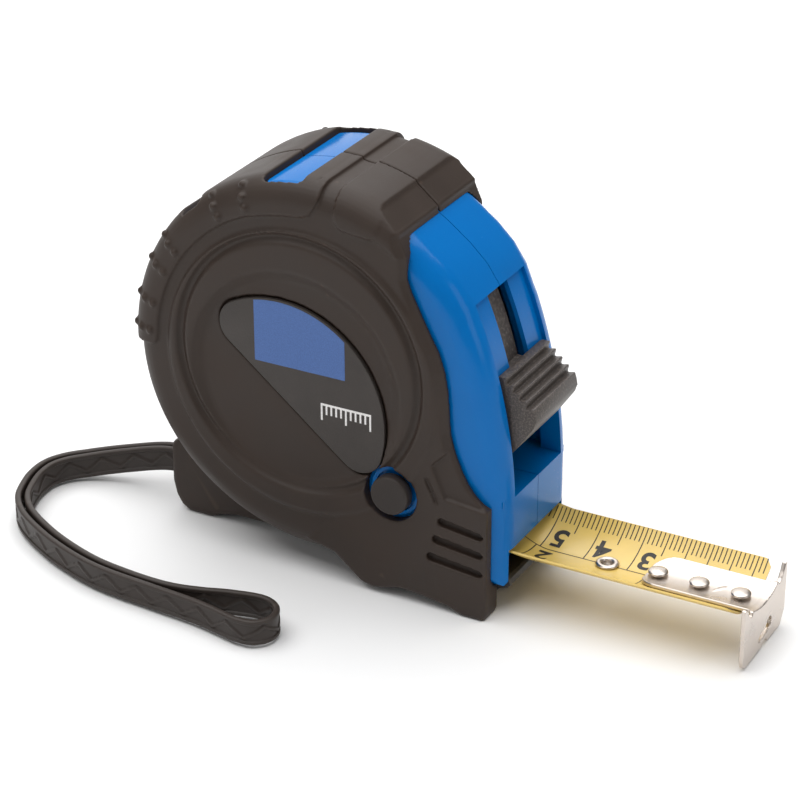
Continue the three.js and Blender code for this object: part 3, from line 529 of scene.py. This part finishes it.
def grip_right(side):
    """One grip, drawn on the right side; the left one is its mirror image."""
    s = settings().grip
    whole = prism(GRIP_OUTLINE, -RIM_HALF, RIM_HALF, 5.5, 8)

    def layer(lift, out, outline):
        disc = prism(arc(*DRUM, GRIP_R + lift, 0, 358, 179), -RIM_HALF - out, RIM_HALF + out, 5.5, 8)
        return shaped(disc, [(KEEP, prism(outline, -30, 30))])

    ring = [(0, -RING_HALF), (31.2, -RING_HALF), (31.8, -RING_HALF + 0.2), (32.5, -RIM_HALF + 0.2),
            (32.5, -CASE_HALF), (0, -CASE_HALF)]
    band = ([(-28.3, 99), (-28.6, 88), (-29.6, 85.6), (-30.8, 84.0), (-32.6, 83.2), (-36, 82.9), (-40, 82.2)]
            + arc(*DRUM, 36.3, 112, 176, 40) + arc(-70.2, 48.6, 1.9, 0, -90, 8) + [(-78, 46.2), (-78, 99)])
    pad = arc(-22.3, 84.6, 2.6, 180, 262, 8) + arc(-17.4, 83.7, 2.2, 250, 355, 8) + [(-13.6, 99), (-25.0, 99)]
    steps = [(JOIN, layer(0.7, 0.8, band)), (JOIN, layer(0.75, 0.7, pad)),
             (JOIN, layer(0.95, 0.4, sector(37.8, GRIP_R + 4, 50, 66.0))),
             (JOIN, prism(SKIRT, -RIM_HALF - 0.3, RIM_HALF + 0.3, 0.9, 3)),
             (JOIN, prism(LUG, -7.5, 7.5, 1.2, 3)),
             (JOIN, spun(ring, -33.5, 47.5))]
    bumps = []
    for angle in (111, 122, 144.5, 153.5, 166, 176):
        for tilt in (90, 65, 36):
            r = 38.0 + 5.4 * math.cos(math.radians(tilt))
            x, z = arc(*DRUM, r, angle, angle, 1)[0]
            bumps.append((x, -13.8 - 5.35 * math.sin(math.radians(tilt)), z))
    steps.append((JOIN, balls(bumps, s.bump_radius * 1000)))
    steps += [
        (KEEP, block(-100, 60, -30, -SEAM, -10, 120)),
        (CUT, prism(CASE_OUTLINE, -CASE_HALF - 0.25, CASE_HALF + 0.25, 5.2, 6)),
        (CUT, prism(GRIP_FRONT, -40, 40)),
        (CUT, prism(sector(39, 60, 92.0, 104.6, 6), -16.9, 16.9, 1.5, 5)),
        (CUT, prism(sector(39, 60, 127.4, 136, 6), -17.3, 17.3, 1.5, 5)),
        (CUT, prism([(-11.2, 83.2), (-16, 87.2), (-16, 95), (0, 95), (0, 83.2)], -40, 40)),
    ]
    for start, end in ((80.6, 81.7), (87.4, 88.3), (66.0, 66.5)):
        steps.append((CUT, prism(sector(GRIP_R + 0.1, 60, start, end, 4), -40, 40)))
    steps.append((CUT, prism([(60, 100)] + [(x - 1.8, z) for x, z in GRIP_FRONT[1:-4]] + [(60, 27)], -40, -17.4, 1.6, 1)))
    groove = [(27.1, -30), (29.6, -30), (29.6, -19.2), (29.0, -18.5), (28.6, -18.25), (28.1, -18.25),
              (27.5, -18.8), (27.1, -19.2)]
    dish = [(0, -30), (25.6, -30), (25.6, -RING_HALF), (25.0, -19.1), (24.2, -18.6), (22.9, -17.9),
            (22.2, -17.75), (0, -17.75)]
    steps += [
        (CUT, spun(groove, -34.0, 49.6)), (CUT, spun(dish, -34.9, 45.2)),
        (CUT, prism([(-2.8, 34), (0.4, 26.9), (13, 25.7), (13, 40), (3, 40)][::-1], -40, -18)),
        (CUT, block(-15.9, 40, -12.8, 12.8, -5, FLOOR_OUT + 2.4)),
        (CUT, block(-80, -67.6, -4.6, 4.6, 4.5, 13)),
    ]
    for i in range(3):
        x, z = -0.3 - 1.25 * i, 21.2 - 4.4 * i
        slot = arc(x, z, 1, 90, 270, 10) + arc(8.3, z - 1.2, 0.9, -90, 90, 10)
        steps.append((CUT, prism(slot, -40, -17.2)))
    steps.append((CUT, prism([(-4.6, 30.6), (-3.7, 30.9), (-0.9, 25.5), (-1.8, 25.2)], -40, -18.1)))
    dots = [(-18.1 + 2.85 * i, -RIM_HALF - 0.1, 7.9 - 1.0 * k) for i in range(10) for k in range(3)]
    steps.append((JOIN, balls(dots, 0.34)))
    if side == "left":
        steps += [(CUT, prism([(8.2, 9), (20, 9), (20, 30), (6.6, 30)], -40, -10)),
                  (CUT, prism([(-15, 100), (-15, 84), (-12.4, 78), (-12.4, 72), (-5, 60), (20, 60), (20, 100)],
                              -40, -16.6))]
    if side == "right":
        steps += [(CUT, spun([(0, -40), (6.1, -40), (6.1, -15.2), (0, -15.2)], -12.2, 24.8, 96)),
                  (CUT, prism(badge_outline(0.4), -40, -17.0))]
    else:
        for x, z in ((-9.7, 73.8), (-51.9, 75.6), (-60.4, 27.3), (-2.4, 23.0)):
            steps.append((CUT, spun([(0, -40), (2.7, -40), (2.7, 0), (0, 0)], x, z, 40)))
        steps.append((CUT, spun([(0, -40), (2.4, -40), (2.4, 0), (0, 0)], *DRUM, 40)))
    return whole, steps


class TAPE_OT_grips(Operator):
    """The two soft rubber grips, with their bands, bumps, pads, grooves and dishes."""

    bl_idname = "tape.grips"
    bl_label = "Build the Grips"

    def execute(self, context):
        s = settings().grip
        for side, mirror in (("right", False), ("left", True)):
            base, steps = grip_right(side)
            cell = s.voxel * 1000 * 1.0
            shaped(base, steps, [
                ("REMESH", {"mode": "VOXEL", "voxel_size": cell, "use_smooth_shade": True}),
                ("SMOOTH", {"factor": 0.5, "iterations": 2}),
                ("DECIMATE", {"ratio": 0.5})])
            finished(base, side + "_grip_skin", "case", materials()["rubber"],
                     [side + "_grip"], 180, mirror)
        return {"FINISHED"}


class TAPE_OT_badge(Operator):
    """The inset badge with a plain printed patch and a short row of scale ticks."""

    bl_idname = "tape.badge"
    bl_label = "Build the Badge"

    def execute(self, context):
        m = materials()
        plate = prism(badge_outline(0), -18.35, -17.3, 0.25, 4)
        finished(plate, "badge_plate", "case", m["badge"], ["right_badge"])
        top = arc(-38.8, 38.2, 24.6, 103.5, 50.2, 30)
        patch = prism([(-44.5, 48.4), (-23.0, 48.4)] + top[::-1], -18.38, -18.36)
        finished(patch, "badge_patch", "case", m["patch"])
        bm = bmesh.new()
        for i in range(11):
            long = 3.4 if i % 5 == 0 else 2.0
            made = bmesh.ops.create_cube(bm, size=1)["verts"]
            bmesh.ops.scale(bm, verts=made, vec=(0.42, 0.03, long))
            bmesh.ops.translate(bm, verts=made, vec=(-28.6 + 1.15 * i, -18.37, 41.5 - long / 2))
        made = bmesh.ops.create_cube(bm, size=1)["verts"]
        bmesh.ops.scale(bm, verts=made, vec=(11.92, 0.03, 0.5))
        bmesh.ops.translate(bm, verts=made, vec=(-22.85, -18.37, 41.75))
        finished(mesh_object("ticks", bm), "badge_ticks", "case", m["white"])
        return {"FINISHED"}


class TAPE_OT_button(Operator):
    """The round stop button's rubber cap."""

    bl_idname = "tape.button"
    bl_label = "Build the Stop Button"

    def execute(self, context):
        m = materials()
        face = -RING_HALF - 1.2
        profile = [(0, -15.2), (1.7, -15.2), (1.9, -15.0 - 0.4), (1.9, -17.8), (4.2, -17.8), (4.35, -18.0),
                   (4.35, face + 0.6)] + [(3.75 + 0.6 * math.cos(t), face + 0.6 - 0.6 * math.sin(t))
                                          for t in (0.4, 0.8, 1.2, 1.57)] + [(2.6, face + 0.06), (0, face + 0.1)]
        button = spun(profile, *BUTTON, 96)
        finished(button, "stop_button_cap", "button", m["button"], ["stop_button"], 50)
        return {"FINISHED"}


class TAPE_OT_slider(Operator):
    """The ribbed thumb block and the rough tongue it slides on."""

    bl_idname = "tape.slider"
    bl_label = "Build the Lock Slider"

    def execute(self, context):
        m = materials()
        ribs = []
        for i in range(65):
            t = i / 64
            swell = 0.42 * math.cos(math.tau * 4 * t)
            ribs.append((9.5 + 6.1 * t + swell, 52.7 - 5.9 * t + swell))
        thumb = (face_arc(FACE_R - RECESS + 0.1, 36, 52.8, 12)[::-1]
                 + [(11.6, 36.6), (12.4, 37.6), (13.7, 39.5), (15.1, 41.5), (16.1, 43.0), (16.65, 44.6), (16.4, 46.0)]
                 + ribs[::-1] + [(8.3, 53.1)])
        block_ = prism(thumb[::-1], -10, 10, 0.16, 2)
        finished(block_, "slider_thumb", "lock", m["slider"], ["lock_slider"], 40)

        neck = prism(front_band(FACE_R - 5, FACE_R - RECESS + 0.2, 43.5, 51.6, 10), -3.9, 3.9)
        tongue = shaped(neck, [
            (JOIN, prism(front_band(FACE_R - 5, FACE_R - 3.4, 43.2, 67.2, 40), -3.9, 3.9)),
            (JOIN, prism(front_band(FACE_R - 6.6, FACE_R - 4.9, 43.2, 61.2, 24), -6.5, 6.5))])
        finished(tongue, "slider_tongue", "lock", m["tongue"])
        return {"FINISHED"}


def blade_top(x, y):
    """Height of the blade's upper surface."""
    crown = settings().blade.crown * 1000
    radius = (2 * BLADE_HALF) ** 2 / (8 * crown) + crown / 2
    t = min(1.0, max(0.0, (x - BLADE_ROOT) / 14.5))
    s = (1 - math.cos(math.pi * t)) / 2
    curved = BLADE_LOW_Z + radius - math.sqrt(max(1.0, radius * radius - y * y))
    return (1 - s) * (BLADE_EDGE_Z + 0.1) + s * curved


def blade_half(x):
    t = min(1.0, max(0.0, (x - BLADE_ROOT) / 14.5))
    return 12.5 * (1 - t) + BLADE_HALF * t - max(0.0, x - BLADE_END + 1.2)


def lying(bm, over):
    """Moves points drawn at z 0 up onto the blade."""
    for v in bm.verts:
        v.co.z = blade_top(v.co.x, v.co.y) + over


def patch_on_blade(x0, x1, half0, half1, nx, ny, over=0.0, shape=None):
    """A fine grid over part of the blade; shape narrows it to its outline."""
    bm = bmesh.new()
    bmesh.ops.create_grid(bm, x_segments=nx, y_segments=ny, size=0.5)
    for v in bm.verts:
        x = x0 + (x1 - x0) * (v.co.x + 0.5)
        f = v.co.y + 0.5
        low, high = (half0, half1) if shape is None else shape(x)
        v.co = (x, low + (high - low) * f, 0)
    lying(bm, over)
    return bm


class TAPE_OT_blade(Operator):
    """The curved steel blade, its slots and eyelet."""

    bl_idname = "tape.blade"
    bl_label = "Build the Blade"

    def execute(self, context):
        m = materials()
        bm = patch_on_blade(BLADE_ROOT, BLADE_END, 0, 0, 160, 40, 0.0,
                            lambda x: (-blade_half(x), blade_half(x)))
        bmesh.ops.recalc_face_normals(bm, faces=bm.faces)
        blade = mesh_object("blade", bm)
        steps = [(CUT, block(x - 2.5, x + 1.7, -1.5, 1.5, 0, 30)) for x in (40.7, 49.9, 59.1)]
        steps.append((CUT, spun_up([(0, -5), (1.8, -5), (1.8, 30), (0, 30)], 29.1, 0.2)))
        top = max(v.co.z for v in blade.data.vertices)
        shaped(blade, [], [("SOLIDIFY", {"thickness": 0.4, "offset": -1.0})])
        if max(v.co.z for v in blade.data.vertices) > top + 0.1:
            raise RuntimeError("the blade was thickened the wrong way")
        shaped(blade, steps)
        finished(blade, "blade_strip", "blade", m["enamel"], ["blade"], 40)
        eye_top = blade_top(30, 0.2) + 0.35
        eyelet = spun_up([(1.2, eye_top - 1.2), (1.55, eye_top - 1.2), (1.55, eye_top), (2.5, eye_top - 0.02),
                          (2.55, eye_top + 0.1), (2.4, eye_top + 0.32), (2.05, eye_top + 0.5), (1.65, eye_top + 0.5),
                          (1.35, eye_top + 0.35), (1.2, eye_top + 0.1)], 29.1, 0.2, 64)
        finished(eyelet, "eyelet_ring", "blade", m["nickel"], ["blade_eyelet"], 60)
        return {"FINISHED"}


def numeral(text, size, x, y, turned):
    """A printed numeral as a fine flat mesh at z 0."""
    curve = bpy.data.curves.new("numeral", "FONT")
    curve.body, curve.size = text, size
    curve.align_x, curve.align_y = "CENTER", "CENTER"
    curve.offset = 0.022 * size
    made = bpy.data.objects.new("numeral", curve)
    bpy.context.scene.collection.objects.link(made)
    graph = bpy.context.evaluated_depsgraph_get()
    mesh = bpy.data.meshes.new_from_object(made.evaluated_get(graph))
    bpy.data.objects.remove(made)
    mesh.transform(Matrix.Translation((x, y, 0)) @ Matrix.Rotation(math.radians(turned), 4, "Z"))
    return mesh


class TAPE_OT_print(Operator):
    """The blade's printed scale: centimetres along the far edge and inches along the near one."""

    bl_idname = "tape.print"
    bl_label = "Print the Scale"

    def execute(self, context):
        line = settings().blade.line * 1000
        bm = bmesh.new()

        def stroke(x, y0, y1, width):
            made = bmesh.ops.create_grid(bm, x_segments=1, y_segments=max(2, int(abs(y1 - y0))), size=0.5)["verts"]
            bmesh.ops.scale(bm, verts=made, vec=(width, abs(y1 - y0), 1))
            bmesh.ops.translate(bm, verts=made, vec=(x, (y0 + y1) / 2, 0))

        edge = BLADE_HALF - 0.08
        middle = 0.15
        for k in range(1, 62):
            x = SCALE_ZERO - k
            if not 4 < x < BLADE_END - 0.6:
                continue
            reach = edge - middle if k % 10 == 0 else 4.6 if k % 5 == 0 else 2.75
            stroke(x, edge, edge - reach, line)
        for k in range(1, 38):
            x = SCALE_ZERO - 25.4 * k / 16
            if not 4 < x < BLADE_END - 0.6:
                continue
            reach = edge + middle if k % 16 == 0 else 4.2 if k % 8 == 0 else 3.2 if k % 4 == 0 else 2.1
            stroke(x, -edge, -edge + reach, line)
        made = bmesh.ops.create_grid(bm, x_segments=80, y_segments=1, size=0.5)["verts"]
        bmesh.ops.scale(bm, verts=made, vec=(BLADE_END - 5.6, 0.26, 1))
        bmesh.ops.translate(bm, verts=made, vec=((BLADE_END + 4) / 2, middle, 0))
        marks = [(str(k), 7.0, SCALE_ZERO - 10 * k + 2.6, 4.5) for k in range(1, 6)]
        marks += [(str(k), 6.4, SCALE_ZERO - 25.4 * k + 3.0, -3.1) for k in (1, 2)]
        for text, size, x, y in marks:
            bm.from_mesh(numeral(text, size, x, y, 180))
        bmesh.ops.triangulate(bm, faces=bm.faces)
        for _ in range(3):
            long = [e for e in bm.edges if abs(e.verts[0].co.y - e.verts[1].co.y) > 0.9]
            if long:
                bmesh.ops.subdivide_edges(bm, edges=long, cuts=1)
                bmesh.ops.triangulate(bm, faces=bm.faces)
        lying(bm, 0.02)
        for f in bm.faces:
            if f.normal.z < 0:
                f.normal_flip()
        finished(mesh_object("scale", bm), "blade_scale", "blade", materials()["black"], (), 180)
        return {"FINISHED"}


class TAPE_OT_hook(Operator):
    """The nickel end hook with its nail slot, and three rivets."""

    bl_idname = "tape.hook"
    bl_label = "Build the End Hook"

    def execute(self, context):
        m = materials()

        def tab_half(x):
            t = max(0.0, 1 - (x - 38.4) / 4.5)
            return 6.6 * math.sqrt(max(0.02, 1 - t * t * 0.75))

        bm = patch_on_blade(38.4, 63.0, 0, 0, 70, 26, 0.3, lambda x: (-tab_half(x), tab_half(x)))
        bmesh.ops.recalc_face_normals(bm, faces=bm.faces)
        tab = mesh_object("hook", bm)
        shaped(tab, [], [("SOLIDIFY", {"thickness": 0.8, "offset": 1.0})])
        top = lambda y: blade_top(40, y) + 1.05
        outline = ([(-9.6, 0.4), (-0.6, 0.4), (0, 1.5), (1.6, 1.5), (2.2, 0.4), (9.2, 0.4), (11.4, 3.4),
                    (11.4, 14.3), (10.8, 14.5), (9.8, 13), (8.6, 11.6), (7.4, 11.2), (7, 12.0)]
                   + [(6.4 - 0.8 * i, top(6.4 - 0.8 * i)) for i in range(17)]
                   + [(-7, 12.0), (-7.4, 11.2), (-8.6, 11.6), (-9.8, 13), (-10.8, 14.5), (-11.4, 14.3),
                      (-11.4, 2.2), (-10.9, 0.9)])
        plate = prism(outline, 0, 1)
        plate.data.transform(Matrix(((0, 1, 0, 63.6), (1, 0, 0, 0), (0, 0, 1, 0), (0, 0, 0, 1))))
        plate.data.flip_normals()
        slot = prism(arc(2.6, 4.4, 1.5, -90, 90, 14) + arc(-2.2, 3.1, 0.8, 90, 270, 10), 0, 6)
        slot.data.transform(Matrix(((0, 1, 0, 61), (1, 0, 0, 0), (0, 0, 1, 0), (0, 0, 0, 1))))
        slot.data.flip_normals()
        bend = []
        for i in range(13):
            y = -6.3 + 12.6 * i / 12
            bend.append((y, blade_top(40, y) + 0.35))
        under = [(y, z + 0.72) for y, z in bend[::-1]]
        neck = prism(bend + under, 0, 1.9)
        neck.data.transform(Matrix(((0, 1, 0, 62.4), (1, 0, 0, 0), (0, 0, 1, 0), (0, 0, 0, 1))))
        neck.data.flip_normals()
        steps = [(JOIN, neck), (JOIN, plate), (CUT, slot)]
        mark = balls([(0, 0, 0)], 1)
        mark.data.transform(Matrix.Translation((54.4, 0.6, blade_top(54, 0.6) + 1.0))
                            @ Matrix.Rotation(math.radians(58), 4, "Z") @ Matrix.Diagonal((2.6, 0.45, 0.32, 1)))
        steps.append((JOIN, mark))
        for x in (40.7, 49.9, 59.1):
            steps.append((CUT, spun_up([(0, 0), (1.25, 0), (1.25, 30), (0, 30)], x, 0)))
        shaped(tab, steps, [("REMESH", {"mode": "VOXEL", "voxel_size": 0.17, "use_smooth_shade": True}),
                            ("SMOOTH", {"factor": 0.5, "iterations": 3})])
        finished(tab, "hook_plate", "hook", m["nickel"], ["end_hook"], 180)
        for i, x in enumerate((40.7, 49.9, 59.1), 1):
            high = BLADE_LOW_Z + 1.55
            low = BLADE_LOW_Z - 0.7
            dome = [(2.1 * math.cos(t), high + 0.3 + 0.5 * math.sin(t)) for t in (0.0, 0.3, 0.6, 0.9, 1.2, 1.4)]
            profile = ([(0, low - 0.35), (1.55, low - 0.35), (1.7, low - 0.2), (1.7, low), (0.95, low), (0.95, high),
                        (2.0, high), (2.1, high + 0.1)] + dome + [(0, high + 0.8)])
            finished(spun_up(profile, x, 0, 64), f"hook_rivet_head_{i}", "hook", m["nickel"],
                     [f"hook_rivet_{i}"], 50)
        return {"FINISHED"}


# ---- strap ---------------------------------------------------------------------------------------
STRAP_ROUTE = [
    (-70.8, 1.05, 8.6), (-79, 1.1, 8.2), (-89.4, -0.7, 5.9), (-98.2, -3.9, 4), (-102.6, -7.6, 3.6),
    (-104.6, -12, 3.6), (-104.6, -17.5, 3.6), (-103, -23.4, 3.6), (-100.6, -28.6, 3.6),
    (-95.8, -33.7, 3.6), (-86, -39.6, 3.6), (-77.8, -43.1, 3.6), (-70.8, -45.3, 3.6),
    (-64.6, -46.4, 3.6), (-54.5, -47.2, 3.6), (-41.9, -48.2, 3.6), (-36, -49.3, 3.6),
    (-31.2, -50.2, 3.6), (-27.3, -49.6, 3.6), (-25.1, -46.6, 3.6), (-25.9, -42.7, 3.6),
    (-29.8, -40.3, 3.6), (-37.3, -41.4, 3.6), (-43.6, -43.5, 3.6), (-49, -44.8, 3.6),
    (-54.33, -45.11, 3.6), (-64.36, -44.31, 3.6), (-70.29, -43.26, 3.6), (-77.06, -41.13, 3.6),
    (-85.03, -37.74, 3.6), (-94.54, -32.02, 3.6), (-98.88, -27.4, 3.6), (-101.02, -22.69, 3.6),
    (-102.52, -17.21, 3.6), (-102.54, -12.42, 3.6), (-100.95, -8.9, 3.6), (-97.23, -5.76, 4),
    (-88.87, -2.73, 5.9), (-78.8, -0.99, 8.2), (-70.8, -1.05, 8.6)]


def through(points, per_span):
    """A smooth curve through the points, with centripetal spacing."""
    pts = [Vector(p) for p in points]
    pts = [2 * pts[0] - pts[1]] + pts + [2 * pts[-1] - pts[-2]]
    out = []
    for i in range(1, len(pts) - 2):
        p = pts[i - 1:i + 3]
        t = [0.0]
        for a, b in zip(p, p[1:]):
            t.append(t[-1] + (b - a).length ** 0.5)
        for k in range(per_span):
            u = t[1] + (t[2] - t[1]) * k / per_span
            a1, a2, a3 = (p[j] * ((t[j + 1] - u) / (t[j + 1] - t[j])) + p[j + 1] * ((u - t[j]) / (t[j + 1] - t[j]))
                          for j in range(3))
            b1 = a1 * ((t[2] - u) / (t[2] - t[0])) + a2 * ((u - t[0]) / (t[2] - t[0]))
            b2 = a2 * ((t[3] - u) / (t[3] - t[1])) + a3 * ((u - t[1]) / (t[3] - t[1]))
            out.append(b1 * ((t[2] - u) / (t[2] - t[1])) + b2 * ((u - t[1]) / (t[2] - t[1])))
    return out + [pts[-2]]


class TAPE_OT_strap(Operator):
    """The wrist strap: a flat rubber band standing on its edge, with borders and a zig-zag."""

    bl_idname = "tape.strap"
    bl_label = "Build the Wrist Strap"

    def execute(self, context):
        s = settings().strap
        centre = through(STRAP_ROUTE, 24)
        along = [0.0]
        for a, b in zip(centre, centre[1:]):
            along.append(along[-1] + (b - a).length)
        width, thick = s.width * 1000, s.thickness * 1000
        rows = 26
        bm = bmesh.new()
        section = []
        for j in range(rows + 1):
            section.append((-1, -0.5 + j / rows))
        for j in range(rows + 1):
            section.append((1, 0.5 - j / rows))
        first = [bm.verts.new((0, 0, 0)) for _ in section]
        for pair in zip(first, first[1:] + first[:1]):
            bm.edges.new(pair)
        loops = [first]
        edges = list(bm.edges)
        for _ in centre[1:]:
            drawn = bmesh.ops.extrude_edge_only(bm, edges=edges)["geom"]
            edges = [g for g in drawn if isinstance(g, bmesh.types.BMEdge)]
            fresh = {e_v for e in edges for e_v in e.verts}
            link = {}
            for v in fresh:
                for e in v.link_edges:
                    o = e.other_vert(v)
                    if o not in fresh:
                        link[o] = v
            loops.append([link[v] for v in loops[-1]])
        turns = along[-1] / s.zigzags
        for i, (loop, c, d) in enumerate(zip(loops, centre, along)):
            ahead = centre[min(i + 1, len(centre) - 1)] - centre[max(i - 1, 0)]
            ahead.normalize()
            across = ahead.cross(Vector((0, 0, 1))).normalized()
            up = across.cross(ahead)
            phase = (d / turns) % 1.0
            crest = abs(2 * phase - 1) * 0.44 - 0.22
            for v, (side, f) in zip(loop, section):
                relief = 0.0
                if abs(f) < 0.33:
                    relief = -0.28
                    if abs(f - crest) < 0.075:
                        relief = -0.02
                edge = abs(f) - 0.44
                if edge > 0:
                    relief -= 1.0 * (edge / 0.06) ** 2 * 0.35
                v.co = c + across * side * (thick / 2 + relief) + up * f * width
        for ends in (loops[0], loops[-1]):
            bm.faces.new(ends)
        bmesh.ops.recalc_face_normals(bm, faces=bm.faces)
        strap = mesh_object("strap", bm)
        finished(strap, "strap_band", "case", materials()["strap"], ["wrist_strap"], 50)
        return {"FINISHED"}


class TAPE_OT_clip(Operator):
    """The spring-steel belt clip, its screw and the case screws."""

    bl_idname = "tape.clip"
    bl_label = "Build the Belt Clip"

    def execute(self, context):
        m = materials()
        y = RING_HALF - 1.0
        z = DRUM[1]
        path = ([(y, z - 12), (y + 1.1, z - 12), (y + 1.1, z + 14.5)] + arc(y + 3.6, z + 15, 2.5, 180, 10, 20)
                + [(y + 6, z + 12), (y + 4.4, z - 6), (y + 4.1, z - 16), (y + 5.2, z - 23), (y + 6.2, z - 22.8),
                   (y + 5.2, z - 16), (y + 5.5, z - 6), (y + 7.1, z + 12)] + arc(y + 3.6, z + 15, 3.6, 5, 180, 24))
        clip = prism(path, -8, 8)
        turn = Matrix(((0, 1, 0, DRUM[0]), (1, 0, 0, 0), (0, 0, 1, 0), (0, 0, 0, 1)))
        clip.data.transform(turn)
        clip.data.flip_normals()
        holes = [(CUT, spun([(0, y - 1), (1.7, y - 1), (1.7, y + 2), (0, y + 2)], *DRUM, 48)),
                 (CUT, spun([(0, y + 2), (3.2, y + 2), (3.2, y + 20), (0, y + 20)], *DRUM, 64))]
        shaped(clip, holes, [("BEVEL", {"width": 0.22, "segments": 3, "limit_method": "ANGLE",
                                        "angle_limit": math.radians(35)})])
        finished(clip, "belt_clip_strip", "case", m["nickel"], ["belt_clip"], 40)
        head = spun([(0, 6), (1.3, 6), (1.3, y + 1.25), (2.6, y + 1.25), (2.7, y + 1.4), (2.7, y + 1.9),
                     (2.4, y + 2.25), (1.8, y + 2.38), (0, y + 2.4)], *DRUM, 64)
        shaped(head, [(CUT, block(DRUM[0] - 1.5, DRUM[0] + 1.5, y + 1.7, y + 9, z - 0.3, z + 0.3)),
                      (CUT, block(DRUM[0] - 0.3, DRUM[0] + 0.3, y + 1.7, y + 9, z - 1.5, z + 1.5))])
        finished(head, "belt_clip_screw_head", "case", m["zinc"], ["belt_clip_screw"], 40)
        for i, (sx, sz) in enumerate(((-9.7, 73.8), (-51.9, 75.6), (-60.4, 27.3), (-2.4, 23.0)), 1):
            screw = spun([(0, -7.5), (1.1, -7.5), (1.1, 14.75), (1.75, 14.75), (1.85, 14.85), (1.85, 15.5),
                          (1.6, 15.9), (0, 16.0)], sx, sz, 40)
            shaped(screw, [(CUT, block(sx - 1.1, sx + 1.1, 15.2, 19, sz - 0.22, sz + 0.22)),
                           (CUT, block(sx - 0.22, sx + 0.22, 15.2, 19, sz - 1.1, sz + 1.1))])
            finished(screw, f"case_screw_head_{i}", "case", m["zinc"], [f"case_screw_{i}"], 40)
        return {"FINISHED"}


class TAPE_OT_inside(Operator):
    """Finishes for the pieces that show only through the mouth and the window."""

    bl_idname = "tape.inside"
    bl_label = "Finish the Inside"

    def execute(self, context):
        m = materials()
        finishes = {"mouth_shoe": "dark", "spindle": "dark", "drum_hub": "dark", "drum_flange_right": "dark",
                    "drum_flange_left": "dark", "tape_coil": "enamel", "mainspring": "steel",
                    "stop_button_spring": "steel", "strap_pin": "zinc"}
        for name, finish in finishes.items():
            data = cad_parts[name].data
            data.materials.clear()
            data.materials.append(m[finish])
        return {"FINISHED"}


# ---- studio --------------------------------------------------------------------------------------
class TAPE_OT_studio(Operator):
    """A pale floor, soft lights and the camera."""

    bl_idname = "tape.studio"
    bl_label = "Set the Studio"

    def execute(self, context):
        scene = context.scene
        scene.view_settings.view_transform = "Standard"
        floor_bm = bmesh.new()
        bmesh.ops.create_grid(floor_bm, x_segments=1, y_segments=1, size=3)
        floor = mesh_object("floor", floor_bm)
        n = Nodes("studio floor", **{"Roughness": 0.9, "Specular IOR Level": 0.1})
        n.set(n.shader, {"Base Color": n.mix(n.noise(3), (0.9, 0.9, 0.9, 1), (0.93, 0.93, 0.93, 1))})
        floor.data.materials.append(n.material)

        world = bpy.data.worlds.new("studio")
        world.use_nodes = True
        world.node_tree.nodes["Background"].inputs[0].default_value = (1, 1, 1, 1)
        world.node_tree.nodes["Background"].inputs[1].default_value = 0.2
        scene.world = world

        def area(name, place, aim, size, power):
            light = bpy.data.lights.new(name, "AREA")
            light.shape, light.size, light.size_y, light.energy = "RECTANGLE", *size, power
            made = bpy.data.objects.new(name, light)
            made.location = place
            made.rotation_euler = (Vector(aim) - Vector(place)).to_track_quat("-Z", "Y").to_euler()
            scene.collection.objects.link(made)

        area("top softbox", (-0.15, 0.05, 0.95), (-0.02, 0, 0.03), (1.6, 1.3), 16.5)
        area("side softbox", (0.75, -0.1, 0.35), (0.0, 0, 0.04), (0.35, 0.6), 0.9)
        area("front softbox", (-0.45, -0.8, 0.45), (-0.02, 0, 0.04), (0.6, 0.5), 0.8)
        area("back softbox", (-0.55, 0.75, 0.4), (-0.03, 0, 0.06), (1.1, 0.8), 3.0)

        camera = bpy.data.cameras.new("camera")
        camera.sensor_width, camera.lens = 36, 125.1
        camera.clip_start, camera.clip_end = 0.01, 20
        made = bpy.data.objects.new("camera", camera)
        made.location = (0.22919, -0.4632, 0.30346)
        back = Vector((0.4225, -0.7853, 0.4525))
        made.rotation_euler = (-back).to_track_quat("-Z", "Y").to_euler()
        scene.collection.objects.link(made)
        scene.camera = made
        return {"FINISHED"}


PIECES = (TAPE_OT_studio, TAPE_OT_strap, TAPE_OT_case, TAPE_OT_grips, TAPE_OT_badge, TAPE_OT_button,
          TAPE_OT_slider, TAPE_OT_blade, TAPE_OT_print, TAPE_OT_hook, TAPE_OT_clip, TAPE_OT_inside)


class TAPE_PT_panel(Panel):
    """Lists the pieces and the sizes they are built from."""

    bl_idname = "TAPE_PT_panel"
    bl_label = "Tape Measure"
    bl_space_type = "VIEW_3D"
    bl_region_type = "UI"
    bl_category = "Tape Measure"

    def draw(self, context):
        for group in ("grip", "case", "blade", "strap"):
            box = self.layout.box()
            box.label(text=group.title())
            values = getattr(context.scene.tape_measure, group)
            for key in values.bl_rna.properties.keys():
                if key not in ("rna_type", "name"):
                    box.prop(values, key)
        for piece in PIECES:
            self.layout.operator(piece.bl_idname)


CLASSES = (GripSizes, CaseSizes, BladeSizes, StrapSizes, TapeMeasureSettings, *PIECES, TAPE_PT_panel)


def register():
    for cls in CLASSES:
        bpy.utils.register_class(cls)
    bpy.types.Scene.tape_measure = PointerProperty(type=TapeMeasureSettings)


def unregister():
    del bpy.types.Scene.tape_measure
    for cls in reversed(CLASSES):
        bpy.utils.unregister_class(cls)


def main():
    register()
    bpy.ops.tape.studio()
    bpy.ops.tape.strap()
    bpy.ops.tape.case()
    bpy.ops.tape.grips()
    bpy.ops.tape.badge()
    bpy.ops.tape.button()
    bpy.ops.tape.slider()
    bpy.ops.tape.blade()
    bpy.ops.tape.print()
    bpy.ops.tape.hook()
    bpy.ops.tape.clip()
    bpy.ops.tape.inside()


if __name__ == "__main__":
    main()
